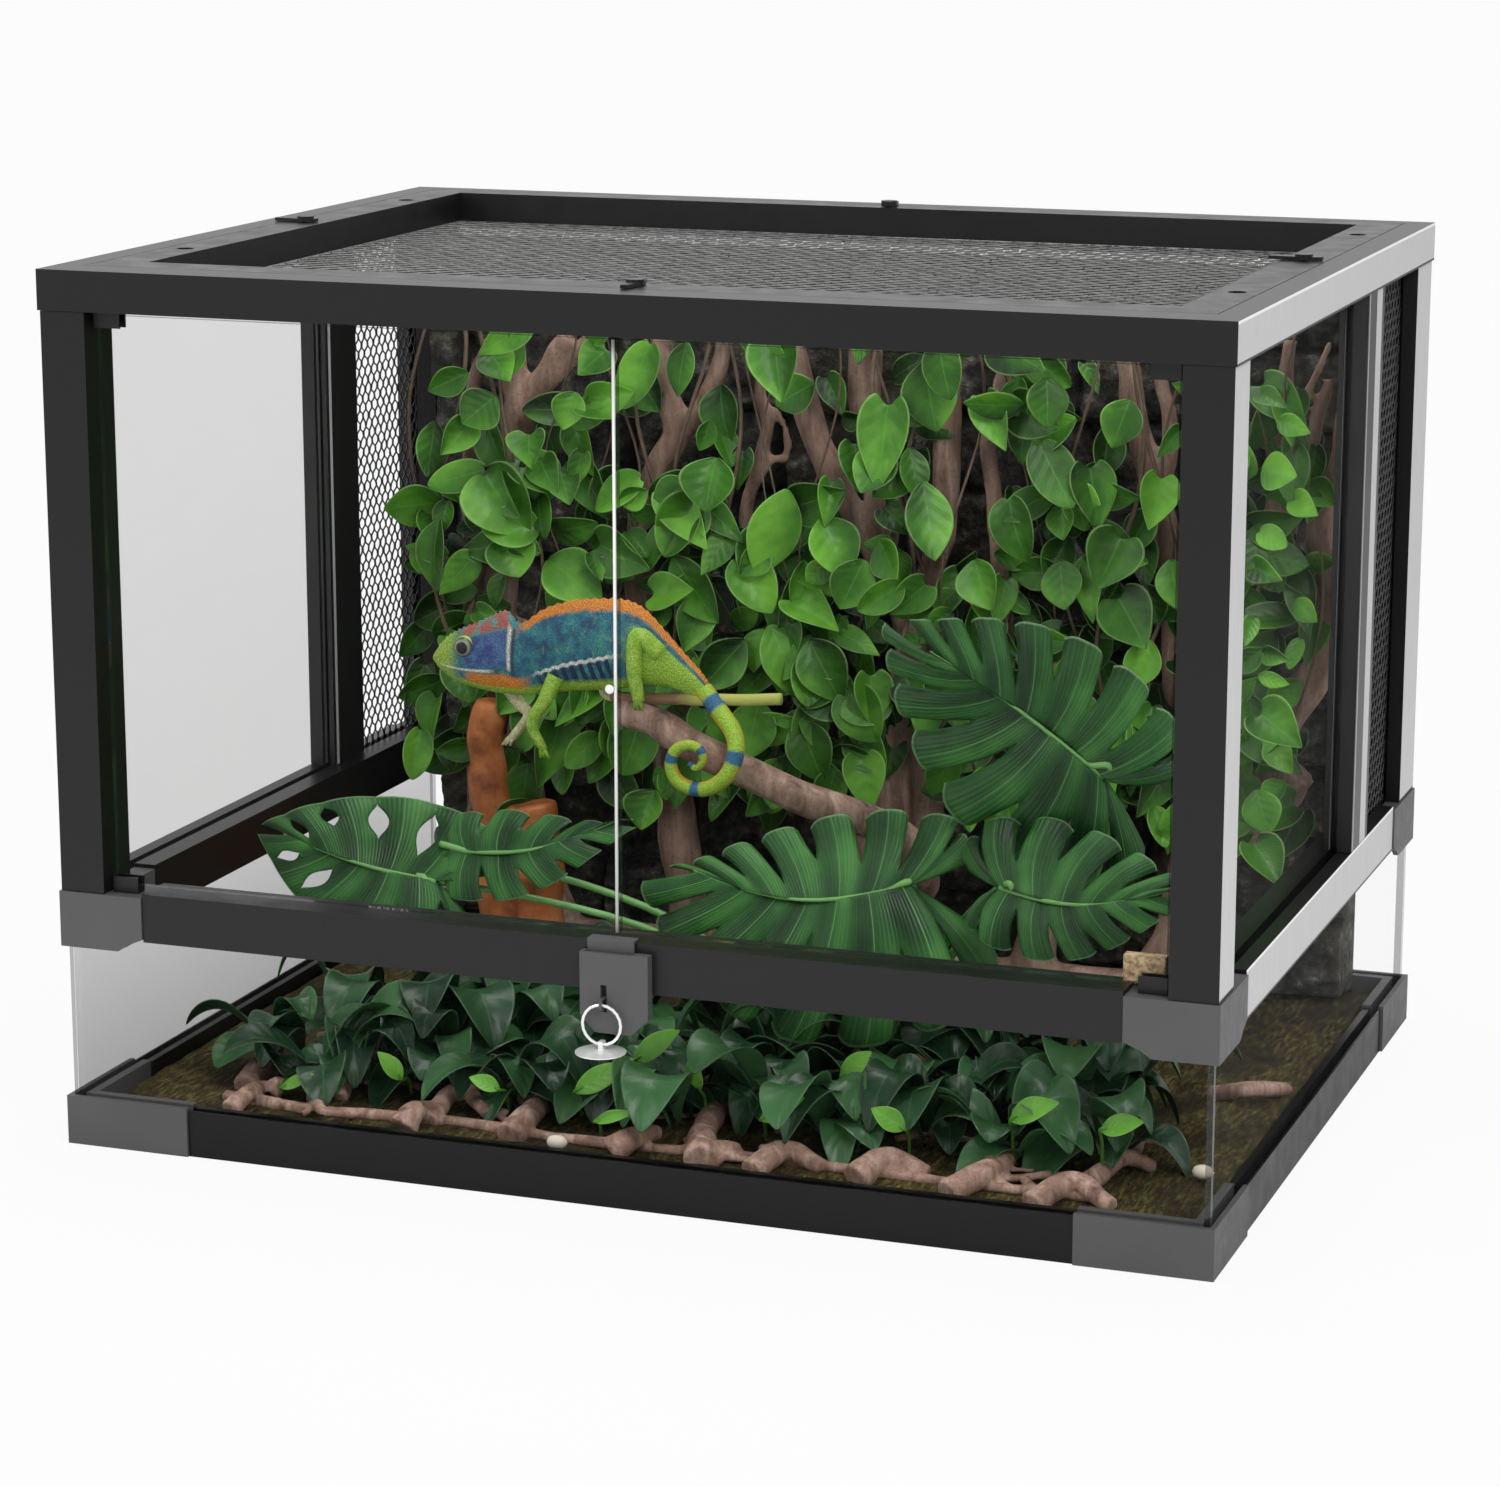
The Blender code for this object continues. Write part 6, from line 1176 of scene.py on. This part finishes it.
def tail_look():
    """Lime outside, orange-yellow inside the curl, with blue bands across."""
    look = Look("lizard_tail_skin", (0.3, 0.5, 0.06), 0.5, 0.0, 0.4)
    around, along, _ = look.marks()
    inside = look.range(look.size(look.minus(around, 0.5)), 0.14, 0.26, 1.0, 0.0)
    bands = look.range(look.math("SINE", look.times(along, 34.0)), 0.72, 0.90)
    skin = look.over(look.mix(inside, LIME, (0.90, 0.42, 0.03)), (bands, (0.03, 0.16, 0.34)))
    return beaded(look, skin, 1300.0, 0.3, 0.4, (0.03, 0.06, 0.02), 0.0005)


def lizard_body():
    """A lofted body and head with a saw-edged ridge."""
    sections = curve_through([Vector(section) for section in LIZARD_SECTIONS], 6)
    rings = []
    for index, (px, top, bottom, half) in enumerate(sections):
        middle = spot(px, (top + bottom) / 2, LIZARD_PLANE)
        reach = (spot(px, top, LIZARD_PLANE) - spot(px, bottom, LIZARD_PLANE)).length / 2
        ring = []
        for step in range(LIZARD_SIDES):
            angle = math.tau * step / LIZARD_SIDES
            up, out = math.sin(angle), math.cos(angle)
            slim = half / 1000 * (1 - 0.35 * max(0.0, up) ** 2)
            crest = 0.0011 * (index % 2) if up > 0.99 and 6 < index else 0.0
            height = up * reach * (1 + 0.03 * max(0.0, up) ** 6) + crest
            ring.append((middle + Vector((0.0, -out * slim, height)),
                         ((1 + up) / 2, index / (len(sections) - 1), 0.5)))
        rings.append(ring)
    form = Form()
    form.loft(rings)
    form.make("lizard_body", lizard_skin_look(), "lizard", "lizard_figure")


def lizard_tail():
    tail = Form()
    path = curve_through([spot(px, py, LIZARD_PLANE - min(0.0045 * index, 0.0165))
                          for index, (px, py) in enumerate(LIZARD_TAIL)], 6)
    tail.tube(path, [0.0050 - 0.0036 * (index / len(path)) ** 1.5 for index in range(len(path))], 16)
    tail.make("lizard_tail", tail_look(), "lizard")


def lizard_legs(name, legs, look):
    """A pair of legs, each with three toes that spread from its end."""
    form = Form()
    for places, radii in legs:
        path = curve_through([spot(px, py, LIZARD_PLANE + depth / 1000) for px, py, depth in places], 6)
        sizes = []
        for index in range(len(path)):
            place = index / (len(path) - 1) * (len(radii) - 1)
            low = min(int(place), len(radii) - 2)
            sizes.append((radii[low] + (radii[low + 1] - radii[low]) * (place - low)) / 1000)
        form.tube(path, sizes, 12)
        ahead = (path[-1] - path[-3]).normalized()
        for turn in (-0.9, -0.3, 0.5):
            toe = path[-1] + Vector((turn * 0.0035, -0.0012, -0.0012)) + ahead * 0.0035
            knuckle = (path[-2] + toe) / 2 + Vector((0, -0.0006, 0.0006))
            form.tube([path[-2], knuckle, toe], [0.0013, 0.0012, 0.0006])
    form.make(name, look, "lizard")


def lizard_eyes():
    eyes = Form()
    eye = spot(*EYE, LIZARD_PLANE)
    for side in (-1, 1):
        eyes.tube([eye + Vector((0.0, side * out / 1000, 0.0)) for out, radius in EYE_RINGS],
                  [radius / 1000 for out, radius in EYE_RINGS], 20)
    look = Look("lizard_eye", (0.2, 0.3, 0.1), 0.35)
    look.color(look.ramp(look.marks()[1], (0.0, (0.40, 0.62, 0.05)), (0.26, (0.46, 0.66, 0.12)),
                         (0.34, (0.01, 0.02, 0.01)), (0.48, (0.12, 0.15, 0.09)), (0.62, (0.30, 0.33, 0.22)),
                         (0.70, 0.002)))
    eyes.make("lizard_eyes", look.material, "lizard")


def lizard_twig():
    """The twig that the lizard holds: bark that turns to green wood past its feet, with one knot."""
    twig = Form()
    path = curve_through([spot(px, py, LIZARD_PLANE) for px, py in TWIG], 8)
    knot = 16
    twig.tube(path, [0.0032 + 0.0008 * math.exp(-((index - knot) / 1.6) ** 2) for index in range(len(path))],
              12)
    look = Look("twig_bark", (0.2, 0.12, 0.05), 0.7)
    fibre = look.noise(260.0, 4.0, 0.7, look.stretch((0.2, 1.0, 1.0)))
    bark = look.mix(fibre, (0.07, 0.04, 0.02), (0.26, 0.15, 0.07))
    look.color(look.mix(look.range(look.axes(look.place)[0], -0.052, -0.036), bark, (0.42, 0.45, 0.10)))
    look.bump(look.noise(600.0, 3.0), 0.0005, 0.6)
    twig.make("lizard_twig", look.material, "lizard")


def lizard():
    lizard_body()
    lizard_tail()
    lizard_legs("lizard_legs", NEAR_LEGS,
                limb_skin_look("lime_skin", (0.36, 0.64, 0.04), (0.50, 0.74, 0.12), (0.06, 0.16, 0.02)))
    lizard_legs("lizard_far_legs", FAR_LEGS,
                limb_skin_look("cream_skin", (0.86, 0.80, 0.55), (0.70, 0.74, 0.36), (0.30, 0.24, 0.10)))
    lizard_eyes()
    lizard_twig()


# Nets
def net(name, look, low, high, place, columns, rows, wire, node, jitter, seed, body="tank"):
    """Wavy strands that meet their neighbours in turn, as in expanded metal, inside a flat border."""
    rng = random.Random(seed)
    form = Form()
    pitch = (high[0] - low[0]) / columns
    step = (high[1] - low[1]) / rows
    for strand in range(columns + 1):
        path = []
        for point in range(rows + 1):
            sway = (0.5 if (point // 2 + strand) % 2 else -0.5) * pitch * 0.92
            half = 1.0 if point % 2 == 0 else 0.96
            a = low[0] + strand * pitch + sway * half + rng.uniform(-jitter, jitter) * pitch
            path.append(place(min(max(a, low[0]), high[0]), low[1] + point * step))
        form.tube(path, [wire] * len(path), 4, rng.random())
    border = [place(a, b) for a, b in (low, (high[0], low[1]), high, (low[0], high[1]))]
    for index in range(4):
        form.tube([border[index], border[(index + 1) % 4]], [wire * 1.4] * 2, 6)
    form.make(name, look, "mesh", node, body=body)


def nets():
    pale = Look("pale_wire", 0.30, 0.4, 0.5)
    pale.clouded(240.0, 3.0, 0.03, (0.34, 0.34, 0.33))
    low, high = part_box("lid_mesh")
    level = (low.z + high.z) / 2
    net("lid_net", pale.material, (low.x + 0.006, low.y + 0.006), (high.x - 0.006, high.y - 0.006),
        lambda a, b: Vector((a, b, level)), 76, 110, 0.00045, "lid_mesh", 0.10, 21, body="lid")
    dark = Look("dark_wire", 0.015, 0.45, 0.2)
    dark.clouded(200.0, 2.0, 0.008, 0.035)
    for side, seed in (("left", 31), ("right", 32)):
        low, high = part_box(f"side_vent_{side}")
        middle = (low.x + high.x) / 2
        net(f"side_net_{side}", dark.material, (low.y + 0.004, low.z + 0.004),
            (high.y - 0.004, high.z - 0.004), lambda a, b: Vector((middle, a, b)), 24, 118, 0.00060,
            f"side_vent_{side}", 0.16, seed)


# Stage: pale floor and backdrop, soft light
WORLD_LIGHT = 0.55
FLOOR_GLOW = 0.94
BACKDROP = 0.975
FLOOR_REACH = 6.0
LAMP_TARGET = Vector((0.0, 0.0, 0.2))
# Name, place, size and power of each lamp
LAMPS = (("key", (1.6, -1.8, 2.2), 1.2, 45.0), ("fill", (-1.8, -1.6, 1.4), 1.6, 18.0),
         ("top", (0.0, 0.2, 2.2), 1.2, 25.0))


def add_lamp(name, place, size, power):
    data = bpy.data.lights.new(name, "AREA")
    data.shape = "DISK"
    data.size = size
    data.energy = power
    item = bpy.data.objects.new(name, data)
    item.location = place
    item.rotation_euler = (LAMP_TARGET - Vector(place)).to_track_quat("-Z", "Y").to_euler()
    bpy.context.scene.collection.objects.link(item)


def add_world():
    """Even light, behind which the camera, reflections and glass see a pale backdrop."""
    world = bpy.data.worlds.new("studio")
    bpy.context.scene.world = world
    world.use_nodes = True
    tree = Tree(world.node_tree)
    light = tree.nodes["Background"]
    tree.set(light, "Color", rgba(0.9))
    tree.set(light, "Strength", WORLD_LIGHT)
    seen = tree.feed("ShaderNodeBackground", {"Color": rgba(BACKDROP), "Strength": 1.0})
    path = tree.nodes.new("ShaderNodeLightPath").outputs
    either = tree.math("MAXIMUM", path["Is Camera Ray"], path["Is Glossy Ray"])
    factor = tree.math("MAXIMUM", either, path["Is Transmission Ray"])
    tree.set(tree.nodes["World Output"], "Surface", tree.blend(factor, light.outputs[0], seen))


def add_floor():
    """A pale floor that keeps the part's shadow near it and glows like the backdrop farther out."""
    mesh = bpy.data.meshes.new("floor")
    corners = [(x * FLOOR_REACH, y * FLOOR_REACH, 0) for x, y in ((-1, -1), (1, -1), (1, 1), (-1, 1))]
    mesh.from_pydata(corners, [], [(0, 1, 2, 3)])
    floor = bpy.data.objects.new("floor", mesh)
    floor.location.z = -0.0005
    bpy.context.scene.collection.objects.link(floor)
    look = Look("pale_floor", 0.90, 0.9, 0.0, 0.0)
    glow = look.feed("ShaderNodeEmission", {"Color": rgba(BACKDROP)})
    path = look.nodes.new("ShaderNodeLightPath").outputs
    either = look.math("MAXIMUM", path["Is Camera Ray"], path["Is Transmission Ray"])
    spread = look.feed("ShaderNodeVectorMath", {0: look.place}, "Value", operation="LENGTH")
    share = look.times(either, look.range(spread, 0.40, 0.85, FLOOR_GLOW, 1.0))
    look.set(look.nodes["Material Output"], "Surface", look.blend(share, look.shader.outputs[0], glow))
    mesh.materials.append(look.material)


def add_stage():
    add_world()
    add_floor()
    for lamp in LAMPS:
        add_lamp(*lamp)


bpy.context.scene.view_settings.view_transform = "Standard"
add_camera()
dress_frame()
rock_wall()
moss_floor()
trunks()
warm_trunks()
twisted_roots()
pale_pebbles()
climbing_vine()
split_leaf_plant()
floor_plants()
lizard()
nets()
add_stage()
